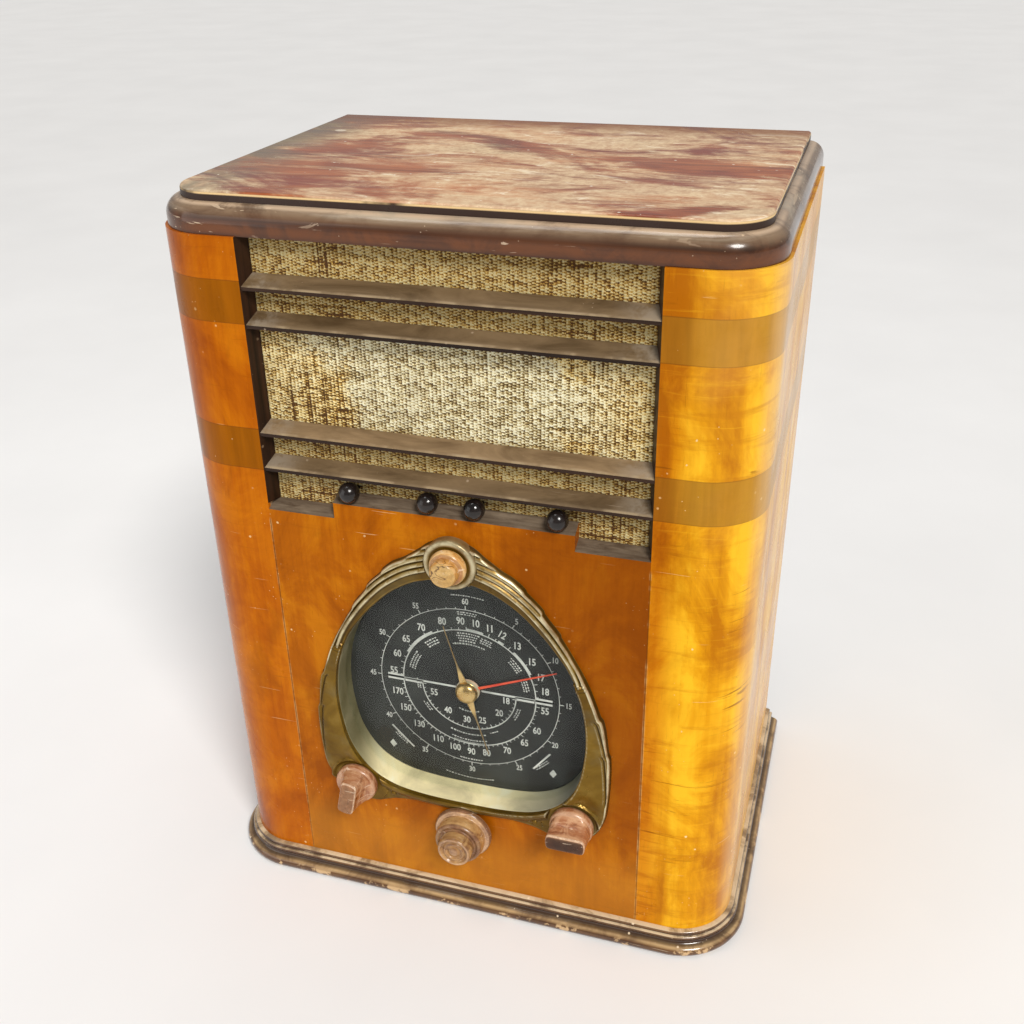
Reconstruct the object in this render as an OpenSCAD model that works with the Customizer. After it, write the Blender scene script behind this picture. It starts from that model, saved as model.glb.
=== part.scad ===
// Upright wooden table radio of the 1930s, with its chassis, loudspeaker and dial drive.
// X runs to the right, Y to the back and Z up. The origin is the centre of the footprint, on the floor.
// "Depth" below means the distance behind the front face of the cabinet, and a negative depth stands proud.

/* [Cabinet] */
// Height of the whole cabinet
cabinet_h = 584; // [582:0.5:590]
// Width across the side faces of the body
body_w = 427; // [424:1:434]
// Depth of the body from its front face to the open back
body_d = 306; // [300:1:320]
// Radius of the rounded front corners
corner_r = 44; // [40:1:46]
// Thickness of the side shells and of the front panel
wall = 11.5; // [11:0.1:12]
// Width of the front panel between the two pilasters
panel_w = 285.8; // [283:0.2:288]
// How far the base moulding stands out from the body
base_out = 12.5; // [11:0.5:13]
// Height of the base moulding
base_h = 20; // [19:0.5:22]
// Height of the bullnose moulding under the top board
bullnose_h = 19.5; // [19:0.5:21]
// Thickness of the top board
top_t = 7; // [6:0.5:8]
// How far the top board is set back from the body faces
top_inset = 13.2; // [12.5:0.1:14]
// Depth of the bottom board
board_t = 12; // [10:1:12]

/* [Grille] */
// Height of the louvre bars' sloping top faces at the cloth, highest bar first
bar_tops = [531.3, 504.6, 424.3, 396.8]; // [390:0.1:540]
// Fall of a louvre's sloping face from the cloth to its front edge
bar_fall = 7.4; // [6:0.1:8]
// Height of a louvre's narrow front face
bar_lip = 2.5; // [2:0.1:3]
// Height of the low sill at its front edge
sill_low = 355.8; // [354:0.2:357]
// Height of the raised middle sill at its front edge
sill_high = 368.2; // [367:0.2:368.4]
// Rise of the sill from its front edge back to the cloth
sill_rise = 5; // [4.5:0.1:5.2]
// Width of the raised middle sill
sill_mid_w = 180; // [176:1:184]
// Thickness of the stretched cloth
cloth_t = 0.8; // [0.6:0.1:0.8]
// Thickness of the board that carries the loudspeaker
baffle_t = 9.5; // [9:0.1:9.5]

/* [Dial] */
// Height of the dial centre
dial_z = 205.3; // [204.5:0.1:206]
// Depth of the printed face of the dial plate
plate_depth = 22; // [21.8:0.1:22.4]
// Thickness of the dial plate
plate_t = 1.2; // [1:0.1:1.4]
// Depth of the front face of the glass
glass_depth = 10.5; // [10:0.1:10.5]
// Thickness of the glass
glass_t = 2; // [1.8:0.1:2.2]
// Height of the escutcheon's rim in front of the panel
rim_h = 7; // [6:0.5:8]
// Length of the red pointer from the dial centre
red_l = 78; // [70:1:80]
// Angle of the red pointer clockwise from upright at rest
red_angle = 67; // [60:1:75]
// Angle of the gold pointer's upper arm from upright at rest
gold_angle = -16; // [-20:1:-10]

/* [Controls] */
// Distance from the front face to the tip of the tuning knob
knob_reach = 30; // [29:0.5:33]
// Height of the tuning knob's axis
tuning_z = 80.5; // [79:0.5:82]
// Height of the two side knobs' axes
side_knob_z = 111.5; // [110:0.5:113]
// Distance of the two side knobs' axes from the middle
side_knob_x = 91; // [89:0.5:92]
// Height of the top knob's axis
top_knob_z = 334; // [333:0.5:335]
// Diameter of the control shafts
shaft_d = 6.35; // [6:0.05:6.4]
// Radial running clearance of a turning shaft
run_gap = 0.05; // [0.04:0.01:0.08]
// Diameter of a tone lever's ball
ball_d = 15.5; // [14.5:0.1:15.5]
// Angle that a tone lever is thrown to each side
throw_angle = 14; // [12:0.5:14]
// Half spacing of the two inner levers
lever_x1 = 23.7; // [23:0.1:25]
// Half spacing of the two outer levers
lever_x2 = 71; // [69:0.5:72]

/* [Chassis] */
// Width of the chassis pan
pan_w = 330; // [328:1:334]
// Depth of the chassis pan from front to back
pan_d = 200; // [198:1:204]
// Height of the chassis pan
pan_h = 90; // [89:0.5:91]
// Sheet thickness of the chassis pan
pan_t = 2; // [1.6:0.1:2]
// Diameter of the drive drum
drum_d = 90; // [88:1:92]
// Turns of the tuning knob for one turn of the drum
drive_ratio = 6; // [5.8:0.1:6.2]

/* [Loudspeaker] */
// Diameter of the loudspeaker's mounting flange
speaker_d = 172; // [168:1:172]
// Height of the loudspeaker's axis
speaker_z = 469; // [469:0.5:470]
// Radius of the opening in the baffle
speaker_hole_r = 74; // [72:1:75]

/* [Hidden] */
$fn = 64;
e = 0.01;
half_w = body_w / 2;
front_y = knob_reach - (body_d + knob_reach) / 2;
rear_y = front_y + body_d;
lip_h = 8;
lip_w = 20;
bullnose_inner = 24;
body_top = cabinet_h - top_t - bullnose_h;
board_top = lip_h + board_t;
slab_z = cabinet_h - top_t;
back_of_panel = front_y + wall;
cloth_back = back_of_panel + cloth_t;
baffle_back = cloth_back + baffle_t;
jamb_w = 4.5;
inner_half = half_w - wall;
plate_y = front_y + plate_depth;
glass_y = front_y + glass_depth;
glass_back = glass_y + glass_t;
housing_y = plate_y + plate_t;
housing_back = housing_y + 16;
pan_y = front_y + 54;
pan_z = 45;
pan_top = pan_z + pan_h;
drum_y = housing_back + 2.5;
drum_t = 6;
cord_y = drum_y + drum_t / 2;
cord_d = 1.4;
cord_r = drum_d / 2 - 1.4;
groove_r = cord_r / drive_ratio - cord_d / 2 - 0.35;
runner_x = pan_w / 2 - 12.5;
bolt_y = [pan_y + 25, pan_y + pan_d - 25];
lever_z = 377.4;
lever_pivot_y = front_y + 27;
lever_arm = 26;
boss_r = 20;
centre = [0, 205];
tube_spots = [[-50, 88], [-5, 88], [78, 84], [130, 84], [132, 22]];
can_spots = [[82, 20], [82, -40], [132, -45]];
capacitor_spots = [[-140, -20], [-95, -20]];
pin_spots = [[-111, 160], [111, 160], [-60, 105.3], [60, 105.3]];
bar_lever_x = [-lever_x2, -lever_x1, lever_x1, lever_x2];
bar_lever_side = [-1, 1, -1, 1];
wood = [0.66, 0.33, 0.1];
dark_wood = [0.22, 0.12, 0.07];
plain_wood = [0.72, 0.56, 0.36];
bronze = [0.42, 0.36, 0.2];
brass = [0.78, 0.62, 0.3];
steel = [0.6, 0.6, 0.6];
black = [0.1, 0.1, 0.1];
bakelite = [0.18, 0.1, 0.06];
knob_wood = [0.5, 0.25, 0.14];
// Right half of the dial window, from the top down to the bottom, as [x, z]
window_pts = [[0, 319.5], [26, 314.5], [46, 303.5], [62, 289], [76, 272.5], [88, 254], [97, 230], [101, 204],
    [100, 178], [94, 152], [80, 131], [60, 118], [34, 113]];
// Right half of the escutcheon's outer edge, from the apex down to the bottom, as [x, z]
edge_pts = [[0, 352.5], [15, 348.5], [25, 341], [36, 333], [46, 327], [56, 317], [67, 304], [80, 285],
    [92, 264.5], [101.5, 246], [108.5, 227], [113.5, 211], [117, 194], [119, 178], [120, 158], [119, 138],
    [116.5, 120], [108, 102.5], [93, 94.5], [75, 93.5], [58, 99], [36, 101]];

// Full closed outline from its right half
function both_sides(half) =
    let (n = len(half))
    concat(half, [[0, half[n - 1][1] - 1]], [for (i = [n - 1:-1:1]) [-half[i][0], half[i][1]]]);

// Point on a smooth curve through four neighbours
function smooth(a, b, c, d, t) =
    0.5 * (2 * b + (c - a) * t + (2 * a - 5 * b + 4 * c - d) * t * t + (3 * b - a - 3 * c + d) * t * t * t);

// Smooth closed curve through the points, with the given number of steps between neighbours
function closed_curve(p, steps) =
    let (n = len(p))
    [for (i = [0:n - 1], s = [0:steps - 1])
        smooth(p[(i + n - 1) % n], p[i], p[(i + 1) % n], p[(i + 2) % n], s / steps)];

// Each point moved away from the dial's middle
function grown(p, by) = [for (q = p) q + by * (q - centre) / norm(q - centre)];

window = closed_curve(both_sides(window_pts), 3);
edge = closed_curve(both_sides(edge_pts), 3);

// Extrudes a shape drawn in X and Z towards the back, from y0 to y1
module deep(y0, y1) {
    translate([0, y1, 0]) rotate([90, 0, 0]) linear_extrude(y1 - y0) children();
}

// Extrudes a shape drawn in Y and Z along X, between -w/2 and w/2
module wide(w) {
    translate([-w / 2, 0, 0]) rotate([90, 0, 90]) linear_extrude(w) children();
}

// A cylinder along Y from y0 to y1, at x and z
module rod(x, z, y0, y1, d) {
    translate([x, y1, z]) rotate([90, 0, 0]) cylinder(h = y1 - y0, d = d);
}

// A turned piece about an axis along Y. Its profile is drawn as radius against distance in front of y0.
module turned(x, z, y0) {
    translate([x, y0, z]) rotate([90, 0, 0]) rotate_extrude() children();
}

// Sweeps a profile round the left side, the front and the right side. Profile x is outward from the body face.
module edge_run() {
    side_l = body_d - corner_r;
    front_l = body_w - 2 * corner_r;
    translate([front_l / 2, front_y, 0]) rotate([90, 0, -90]) linear_extrude(front_l) children();
    for (s = [0, 1]) mirror([s, 0, 0]) {
        translate([half_w, rear_y, 0]) rotate([90, 0, 0]) linear_extrude(side_l) children();
        translate([half_w - corner_r, front_y + corner_r, 0]) rotate([0, 0, -90])
            rotate_extrude(angle = 90) translate([corner_r, 0]) children();
    }
}

// Plan of the body, set in from its faces at the front and sides, and run past the back by extra
module plan(inset, extra = 0) {
    r = corner_r - inset;
    w = half_w - inset;
    y0 = front_y + inset;
    translate([-w, y0 + r]) square([2 * w, rear_y + extra - y0 - r]);
    translate([-w + r, y0]) square([2 * (w - r), r + e]);
    for (s = [-1, 1]) translate([s * (w - r), y0 + r]) circle(r);
}

// Right half of the bent shell: pilaster, rounded corner and side
module half_shell() {
    translate([0, 0, lip_h]) linear_extrude(body_top - lip_h) intersection() {
        difference() {
            plan(0);
            plan(wall, 5);
        }
        translate([panel_w / 2, front_y - 1]) square([half_w, body_d + 2]);
    }
}
module left_side_shell() {
    color(wood) mirror([1, 0, 0]) half_shell();
}
module right_side_shell() {
    color(wood) half_shell();
}

// Front panel with its stepped, sloping top edge
module front_panel() {
    color(wood) difference() {
        union() {
            wide(panel_w) panel_section(lip_h, sill_low);
            wide(sill_mid_w) panel_section(sill_low - 30, sill_high);
        }
        deep(front_y - 1, back_of_panel + 1) polygon(grown(window, 3));
        for (s = [-1, 1]) rod(s * side_knob_x, side_knob_z, front_y - 1, back_of_panel + 1, 12);
        rod(0, tuning_z, front_y - 1, back_of_panel + 1, 12);
        rod(0, top_knob_z, front_y - 1, back_of_panel + 1, 9.5);
        for (p = pin_spots) rod(p[0], p[1], front_y - 1, front_y + 8, 2.4);
    }
}
module panel_section(z0, z1) {
    polygon([[front_y, z0], [front_y, z1], [back_of_panel, z1 + sill_rise], [back_of_panel, z0]]);
}

// Bevelled strips that line the left and right ends of the grille
module grille_jambs() {
    x = panel_w / 2;
    color(dark_wood) for (s = [0, 1]) mirror([s, 0, 0])
        translate([0, 0, sill_low + sill_rise]) linear_extrude(body_top - sill_low - sill_rise)
            polygon([[x, front_y], [x, back_of_panel], [x - jamb_w, back_of_panel]]);
}

// One louvre bar, mitred to the jambs at both ends
module louvre_bar(i) {
    x = panel_w / 2;
    z1 = bar_tops[i];
    z0 = z1 - bar_fall;
    front = front_y + 1;
    color(dark_wood) intersection() {
        wide(panel_w) polygon([[back_of_panel, z1], [front, z0], [front, z0 - bar_lip],
            [back_of_panel, z0 - bar_lip]]);
        translate([0, 0, z0 - 10]) linear_extrude(30)
            polygon([[-x, front_y], [x, front_y], [x - jamb_w, back_of_panel], [jamb_w - x, back_of_panel]]);
    }
}
module louvre_bar_1() {
    louvre_bar(0);
}
module louvre_bar_2() {
    louvre_bar(1);
}
module louvre_bar_3() {
    louvre_bar(2);
}
module louvre_bar_4() {
    louvre_bar(3);
}

// Bullnose under the top board
module top_moulding() {
    round_r = 12;
    inset = 2;
    color(dark_wood) translate([0, 0, body_top]) edge_run() {
        translate([-bullnose_inner, 0]) square([bullnose_inner - inset - round_r, bullnose_h]);
        translate([-inset - round_r, 0]) square([round_r, bullnose_h - round_r]);
        intersection() {
            translate([-inset - round_r, bullnose_h - round_r]) circle(round_r);
            translate([-inset - round_r, 0]) square([round_r, bullnose_h]);
        }
    }
}
module top_board() {
    edge_r = 2.5;
    color([0.35, 0.12, 0.07]) translate([0, 0, slab_z]) {
        linear_extrude(top_t) plan(top_inset + edge_r);
        edge_run() translate([-top_inset - edge_r, 0]) {
            square([edge_r, top_t - edge_r]);
            intersection() {
                translate([0, top_t - edge_r]) circle(edge_r);
                square([edge_r, top_t]);
            }
        }
    }
}

// Base moulding: a fat round at the floor, a cove, and a small round on top
module base_moulding() {
    big_r = 6.5;
    small_r = 2.5;
    color(dark_wood) edge_run() {
        translate([-lip_w, 0]) square([lip_w + base_out - big_r, lip_h]);
        square([base_out - big_r, 2 * big_r]);
        square([1.5, base_h]);
        intersection() {
            union() {
                translate([base_out - big_r, big_r]) circle(big_r);
                translate([1.5, base_h - small_r]) circle(small_r);
            }
            square([base_out, base_h]);
        }
        difference() {
            square([6, base_h - small_r]);
            translate([6.4, base_h - small_r - 0.6]) circle(3.6);
        }
    }
}
module bottom_board() {
    color(plain_wood) translate([0, 0, lip_h]) linear_extrude(board_t) plan(wall);
}

// Rails across the open back, and glue blocks in the corners
module cabinet_framing() {
    rail = 18;
    color(plain_wood) {
        translate([-inner_half, rear_y - rail, body_top - 22]) cube([2 * inner_half, rail, 22]);
        translate([-half_w + lip_w, rear_y - rail, 0]) cube([2 * (half_w - lip_w), rail, lip_h]);
        for (s = [0, 1]) mirror([s, 0, 0]) {
            translate([inner_half, front_y + 60, body_top - 140]) block();
            translate([inner_half, front_y + 60, board_top]) block();
            translate([inner_half, rear_y - 40, board_top]) block();
        }
        translate([bullnose_inner - half_w, front_y + 80, body_top])
            cube([2 * (half_w - bullnose_inner), rail, bullnose_h]);
    }
}
module block() {
    linear_extrude(90) polygon([[0, 0], [0, 28], [-20, 14]]);
}

// Board behind the cloth, with the loudspeaker's opening and the slots for the tone levers
module speaker_baffle() {
    color(plain_wood) difference() {
        translate([-172, cloth_back, 345]) cube([344, baffle_t, body_top - 346]);
        rod(0, speaker_z, cloth_back - 1, baffle_back + 1, 2 * speaker_hole_r);
        lever_slots(cloth_back - 1, baffle_back + 1);
        for (p = speaker_bolt_spots) rod(p[0], p[1], cloth_back + 3, baffle_back + 1, 4);
    }
}
speaker_bolt_spots = [for (a = [45:90:315]) [(speaker_d / 2 - 6) * cos(a), speaker_z + (speaker_d / 2 - 6) * sin(a)]];
module lever_slots(y0, y1) {
    for (x = bar_lever_x) deep(y0, y1) translate([x - 7, lever_z - 3]) square([14, 6]);
}
module grille_cloth() {
    color([0.8, 0.7, 0.45]) difference() {
        translate([-150, back_of_panel, 346]) cube([300, cloth_t, body_top - 347]);
        lever_slots(back_of_panel - 1, cloth_back + 1);
    }
}

// Cast frame round the dial: a flange, a step, a raised rim and a wall that runs back to the glass
module dial_escutcheon() {
    color(bronze) difference() {
        union() {
            deep(front_y - 3, front_y) polygon(edge);
            deep(front_y - 5, front_y - 3 + e) polygon(grown(window, 7));
            deep(front_y - rim_h, front_y - 5 + e) polygon(grown(window, 3));
            deep(front_y, glass_y) polygon(grown(window, 2));
            rod(0, top_knob_z, front_y - rim_h, front_y - 3 + e, 2 * boss_r);
        }
        deep(front_y - rim_h - 1, glass_y + 1) window_below_knob();
        for (s = [-1, 1]) {
            rod(s * side_knob_x, side_knob_z, front_y - 6, front_y + 1, 12);
            rod(s * side_knob_x, side_knob_z, front_y - rim_h - 1, front_y - 3, 37);
        }
        rod(0, tuning_z, front_y - rim_h - 1, front_y - 3, 50);
        rod(0, top_knob_z, front_y - rim_h - 1, glass_y + 1, 9.5);
        for (p = pin_spots) rod(p[0], p[1], front_y - 4, front_y + 1, 2.4);
    }
}

// The window, less the round boss that carries the top knob
module window_below_knob() {
    difference() {
        polygon(window);
        translate([0, top_knob_z]) circle(boss_r);
    }
}

// The window grown a little, with room at the top for the control behind the panel
module window_round_control(by) {
    difference() {
        polygon(grown(window, by));
        translate([0, top_knob_z]) circle(12.5);
    }
}
module escutcheon_pins() {
    color(bronze) for (p = pin_spots) {
        rod(p[0], p[1], front_y - 3, front_y + 8, 2.4);
        turned(p[0], p[1], front_y - 3) intersection() {
            translate([0, -1.2]) circle(2.6);
            square(5);
        }
    }
}
module dial_glass() {
    color([0.8, 0.85, 0.85, 0.3]) deep(glass_y, glass_back) window_round_control(1.5);
}
module glass_frame() {
    color(black) deep(glass_back, plate_y) difference() {
        window_round_control(1.8);
        window_below_knob();
    }
}
module dial_plate() {
    color(black) deep(plate_y, housing_y) difference() {
        window_round_control(1.8);
        translate([0, dial_z]) circle(5.5);
    }
}
module lamp_housing() {
    color(steel) difference() {
        deep(housing_y, housing_back) polygon(grown(window, -6));
        deep(housing_y - 1, housing_back - 1.2) polygon(grown(window, -7.2));
        rod(0, dial_z, housing_y, housing_back + 1, 11);
        for (p = lamp_spots) rod(p[0], p[1], housing_y, housing_back + 1, 9);
    }
}
lamp_spots = [[-66, 150], [66, 150], [0, 300]];
module dial_lamps() {
    for (p = lamp_spots) {
        color(brass) rod(p[0], p[1], housing_back - 8, housing_back + 8, 8.8);
        color([0.9, 0.9, 0.8]) translate([p[0], housing_back - 9, p[1]]) sphere(d = 9);
    }
}

// Gold pointer with two arms and a domed hub, on the condenser's shaft
module main_pointer() {
    dome_r = 9;
    arm_y = plate_y - 5;
    color(brass) difference() {
        union() {
            rotate_about_dial(gold_angle) deep(arm_y, arm_y + 0.8) {
                polygon([[-3.4, 0], [-1.2, 24], [-0.4, 61], [0.4, 61], [1.2, 24], [3.4, 0]]);
                polygon([[-3.4, 0], [-1.2, -24], [-0.4, -60], [0.4, -60], [1.2, -24], [3.4, 0]]);
            }
            turned(0, dial_z, arm_y + 2) polygon([[0, 0], [dome_r, 0], [dome_r, 1.6], [7.8, 3.2], [5.4, 4.8],
                [2.6, 5.7], [0, 5.9]]);
        }
        rod(0, dial_z, arm_y - 1, arm_y + 3, shaft_d);
    }
}
module rotate_about_dial(a) {
    translate([0, 0, dial_z]) rotate([0, a, 0]) children();
}

// Red pointer on a sleeve that turns over the condenser's shaft
module red_pointer() {
    hand_y = plate_y - 2.4;
    sleeve = shaft_d + 2 * run_gap;
    color([0.85, 0.25, 0.15]) difference() {
        union() {
            rotate_about_dial(red_angle) deep(hand_y, hand_y + 0.6)
                polygon([[-1.4, 0], [-1, 12], [-0.4, red_l], [0.4, red_l], [1, 12], [1.4, 0]]);
            rod(0, dial_z, hand_y - 0.3, plate_y - 0.6, 19);
            rod(0, dial_z, hand_y, housing_back + 1.6, 9.6);
            rod(0, dial_z, housing_back + 0.6, housing_back + 1.8, 16);
        }
        rod(0, dial_z, hand_y - 1, housing_back + 2, sleeve);
    }
}
module drive_drum() {
    r = drum_d / 2;
    color(steel) difference() {
        turned(0, dial_z, drum_y + drum_t) polygon([[shaft_d / 2, 0], [r, 0], [r, 0.8], [r - 2.5, 1.8],
            [r - 2.5, 4.2], [r, 5.2], [r, 6], [shaft_d / 2, 6]]);
        for (a = [45:90:315]) rod(24 * cos(a), dial_z + 24 * sin(a), drum_y - 1, drum_y + drum_t + 1, 18);
    }
}

// Endless cord that runs round the drum and the bush on the tuning shaft
module drive_cord() {
    color([0.85, 0.8, 0.65]) deep(cord_y - cord_d / 2, cord_y + cord_d / 2) difference() {
        polygon(cord_loop(cord_d / 2));
        polygon(cord_loop(-cord_d / 2));
    }
}

// Closed loop round the drum and the bush, moved outward by a distance: two arcs joined by straight runs
function cord_loop(by) =
    let (big = cord_r + by, small = cord_r / drive_ratio + by, lean = asin((big - small) / (dial_z - tuning_z)))
    concat(arc(big, dial_z, -lean, 180 + lean, 40), arc(small, tuning_z, 180 + lean, 360 - lean, 12));

function arc(r, z, a0, a1, steps) =
    [for (i = [0:steps]) let (a = a0 + (a1 - a0) * i / steps) [r * cos(a), z + r * sin(a)]];

// Bore for a shaft in a knob, from the back
module knob_bore(x, z, depth) {
    rod(x, z, front_y - depth, front_y + 1, shaft_d);
}
module tuning_knob() {
    color(knob_wood) difference() {
        turned(0, tuning_z, front_y - 3.5) polygon([[0, 0], [23.8, 0], [23.8, 3], [22, 4.8], [19.6, 5.4],
            [20, 7], [20, 12], [19.2, 16.4], [17.4, 18], [14.8, 18.6], [14.4, 20.4], [14.2, 23.4], [12.8, 25.6],
            [10, knob_reach - 3.5], [0, knob_reach - 3.5]]);
        knob_bore(0, tuning_z, 18);
    }
}
module tuning_shaft() {
    color(steel) {
        rod(0, tuning_z, front_y - 18, pan_y + 22, shaft_d);
        difference() {
            rod(0, tuning_z, cord_y - 4, cord_y + 4, 18);
            turned(0, tuning_z, cord_y + 1.5) translate([groove_r, 0]) square([8, 3]);
        }
        rod(0, tuning_z, pan_y + pan_t + 0.4, pan_y + 14, 34);
    }
}

// Side knob: a round base with a grip bar between two tapering flats
module bar_knob(x, turn) {
    color(knob_wood) difference() {
        union() {
            turned(x, side_knob_z, front_y - 3.5) polygon([[0, 0], [17.6, 0], [17.6, 5.6], [16.6, 8],
                [14, 10], [0, 10]]);
            translate([x, 0, side_knob_z]) rotate([0, turn, 0]) intersection() {
                turned(0, 0, front_y - 8) polygon([[0, 0], [16.8, 0], [16.4, 8], [15.8, 17], [14.6, 19.8],
                    [0, 19.8]]);
                linear_extrude(40, center = true) polygon([[-11.5, front_y - 8], [11.5, front_y - 8],
                    [6.6, front_y - 28], [-6.6, front_y - 28]]);
            }
        }
        knob_bore(x, side_knob_z, 16);
    }
}
module volume_knob() {
    bar_knob(-side_knob_x, 12);
}
module band_knob() {
    bar_knob(side_knob_x, 90);
}
module sensitivity_knob() {
    color(knob_wood) difference() {
        turned(0, top_knob_z, front_y - rim_h - 0.4) polygon([[0, 0], [13.9, 0], [13.9, 3.4], [13, 5.2],
            [10.6, 6.2], [10, 7.6], [10, 12], [9.2, 14.4], [7.4, 15.2], [0, 15.2]]);
        knob_bore(0, top_knob_z, 18);
    }
}
module volume_shaft() {
    color(steel) rod(-side_knob_x, side_knob_z, front_y - 16, pan_y + 16, shaft_d);
}
module band_shaft() {
    color(steel) rod(side_knob_x, side_knob_z, front_y - 16, pan_y + 62, shaft_d);
}
module sensitivity_shaft() {
    color(steel) rod(0, top_knob_z, front_y - 18, back_of_panel + 10, shaft_d);
}

// Bush that holds a control in its wall, with its nut in front
module bush(x, z, wall_y, wall_t) {
    rod(x, z, wall_y - 5, wall_y + wall_t, 9.5);
    translate([x, wall_y, z]) rotate([90, 0, 0]) cylinder(h = 2.5, d = 14, $fn = 6);
}
module volume_control() {
    y0 = pan_y + pan_t;
    color(steel) difference() {
        union() {
            rod(-side_knob_x, side_knob_z, y0, y0 + 18, 30);
            bush(-side_knob_x, side_knob_z, pan_y, pan_t);
        }
        rod(-side_knob_x, side_knob_z, pan_y - 6, pan_y + 16.5, shaft_d + 2 * run_gap);
    }
}
module band_switch() {
    y0 = pan_y + pan_t;
    color(steel) difference() {
        union() {
            rod(side_knob_x, side_knob_z, y0, y0 + 5, 30);
            for (k = [0, 1]) rod(side_knob_x, side_knob_z, y0 + 18 + 22 * k, y0 + 20 + 22 * k, 34);
            for (s = [-1, 1]) rod(side_knob_x + 12 * s, side_knob_z, y0, y0 + 45, 2.5);
            bush(side_knob_x, side_knob_z, pan_y, pan_t);
        }
        rod(side_knob_x, side_knob_z, pan_y - 6, pan_y + 70, shaft_d + 2 * run_gap);
    }
}
module sensitivity_control() {
    color(steel) difference() {
        union() {
            rod(0, top_knob_z, back_of_panel, back_of_panel + 9, 22);
            rod(0, top_knob_z, front_y - 4, back_of_panel, 9.5);
        }
        rod(0, top_knob_z, front_y - 5, back_of_panel + 10.5, shaft_d + 2 * run_gap);
    }
}

// Tone lever: ball, rod and a flat hub on a vertical pin
module tone_lever(i) {
    turn = bar_lever_side[i] * throw_angle;
    color(black) translate([bar_lever_x[i], lever_pivot_y, lever_z]) rotate([0, 0, turn]) difference() {
        union() {
            translate([0, -lever_arm, 0]) sphere(d = ball_d);
            rotate([90, 0, 0]) cylinder(h = lever_arm - 2, d = 3.6);
            translate([0, 0, -2]) cylinder(h = 4, d = 9);
        }
        translate([0, 0, -5]) cylinder(h = 10, d = 2.6);
    }
}
module tone_lever_1() {
    tone_lever(0);
}
module tone_lever_2() {
    tone_lever(1);
}
module tone_lever_3() {
    tone_lever(2);
}
module tone_lever_4() {
    tone_lever(3);
}

// Channel behind the baffle with a pin for each tone lever
module tone_switch_bracket() {
    color(steel) {
        for (z = [lever_z - 4.6, lever_z + 3.4]) translate([-86, baffle_back, z]) cube([172, 14, 1.2]);
        translate([-86, baffle_back + 14, lever_z - 4.6]) cube([172, 1.2, 9.2]);
        for (x = bar_lever_x) translate([x, lever_pivot_y, lever_z - 3.4 - e]) cylinder(h = 6.8 + 2 * e, d = 2.5);
    }
}

// Steel pan, open below, with inward flanges along both sides
module chassis_pan() {
    x = pan_w / 2;
    color(steel) difference() {
        translate([-x, pan_y, pan_z]) cube([pan_w, pan_d, pan_h]);
        translate([-x + pan_t, pan_y + pan_t, pan_z + pan_t])
            cube([pan_w - 2 * pan_t, pan_d - 2 * pan_t, pan_h - 2 * pan_t]);
        translate([-x + 25, pan_y + pan_t, pan_z - 1]) cube([pan_w - 50, pan_d - 2 * pan_t, 10]);
        rod(0, tuning_z, pan_y - 1, pan_y + pan_t + 1, shaft_d + 2 * run_gap);
        for (s = [-1, 1]) rod(s * side_knob_x, side_knob_z, pan_y - 1, pan_y + pan_t + 1, 9.5);
        rod(100, 80, pan_y + pan_d - pan_t - 1, pan_y + pan_d + 1, 14);
        for (sx = [-1, 1], y = bolt_y) translate([sx * runner_x, y, pan_z - 1]) cylinder(h = 4, d = 5);
    }
}
module chassis_runners() {
    color(plain_wood) for (s = [-1, 1]) difference() {
        translate([s * runner_x - 12.5, pan_y, board_top]) cube([25, pan_d, 20]);
        for (y = bolt_y) translate([s * runner_x, y, board_top + 4]) cylinder(h = 17, d = 5);
    }
}
module chassis_cushions() {
    color(black) for (s = [-1, 1], y = bolt_y) translate([s * runner_x, y, board_top + 20]) difference() {
        cylinder(h = pan_z - board_top - 20, d = 20);
        translate([0, 0, -1]) cylinder(h = 7, d = 5);
    }
}
module chassis_bolts() {
    color(steel) for (s = [-1, 1], y = bolt_y) translate([s * runner_x, y, 0]) {
        translate([0, 0, board_top + 4]) cylinder(h = pan_z + pan_t - board_top - 4, d = 5);
        translate([0, 0, pan_z + pan_t]) cylinder(h = 4, d = 11, $fn = 6);
    }
}
module tube_sockets() {
    color(bakelite) for (p = tube_spots) translate([p[0], p[1], pan_top]) cylinder(h = 5, d = 36);
}
module tube_bases() {
    color(black) for (p = tube_spots) translate([p[0], p[1], pan_top + 5]) cylinder(h = 22, d = 32);
}
module tube_bulbs() {
    color([0.8, 0.85, 0.85, 0.5]) for (p = tube_spots) translate([p[0], p[1], pan_top + 27])
        rotate_extrude() polygon([[0, 0], [13, 0], [15, 10], [18.5, 22], [19, 34], [16, 46], [13.5, 54],
            [13, 66], [11, 72], [7, 76], [0, 77.5]]);
}
module if_cans() {
    color([0.75, 0.76, 0.78]) for (p = can_spots) translate([p[0] - 17, p[1] - 17, pan_top]) cube([34, 34, 82]);
}
module power_transformer() {
    color([0.15, 0.15, 0.16]) {
        translate([-155, 32, pan_top]) cube([76, 70, 22]);
        translate([-159, 28, pan_top + 22]) cube([84, 78, 22]);
        translate([-155, 32, pan_top + 44]) cube([76, 70, 24]);
    }
}
module filter_capacitors() {
    color([0.7, 0.71, 0.73]) for (p = capacitor_spots) translate([p[0], p[1], pan_top]) {
        cylinder(h = 6, d = 38);
        cylinder(h = 90, d = 34);
    }
}

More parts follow.
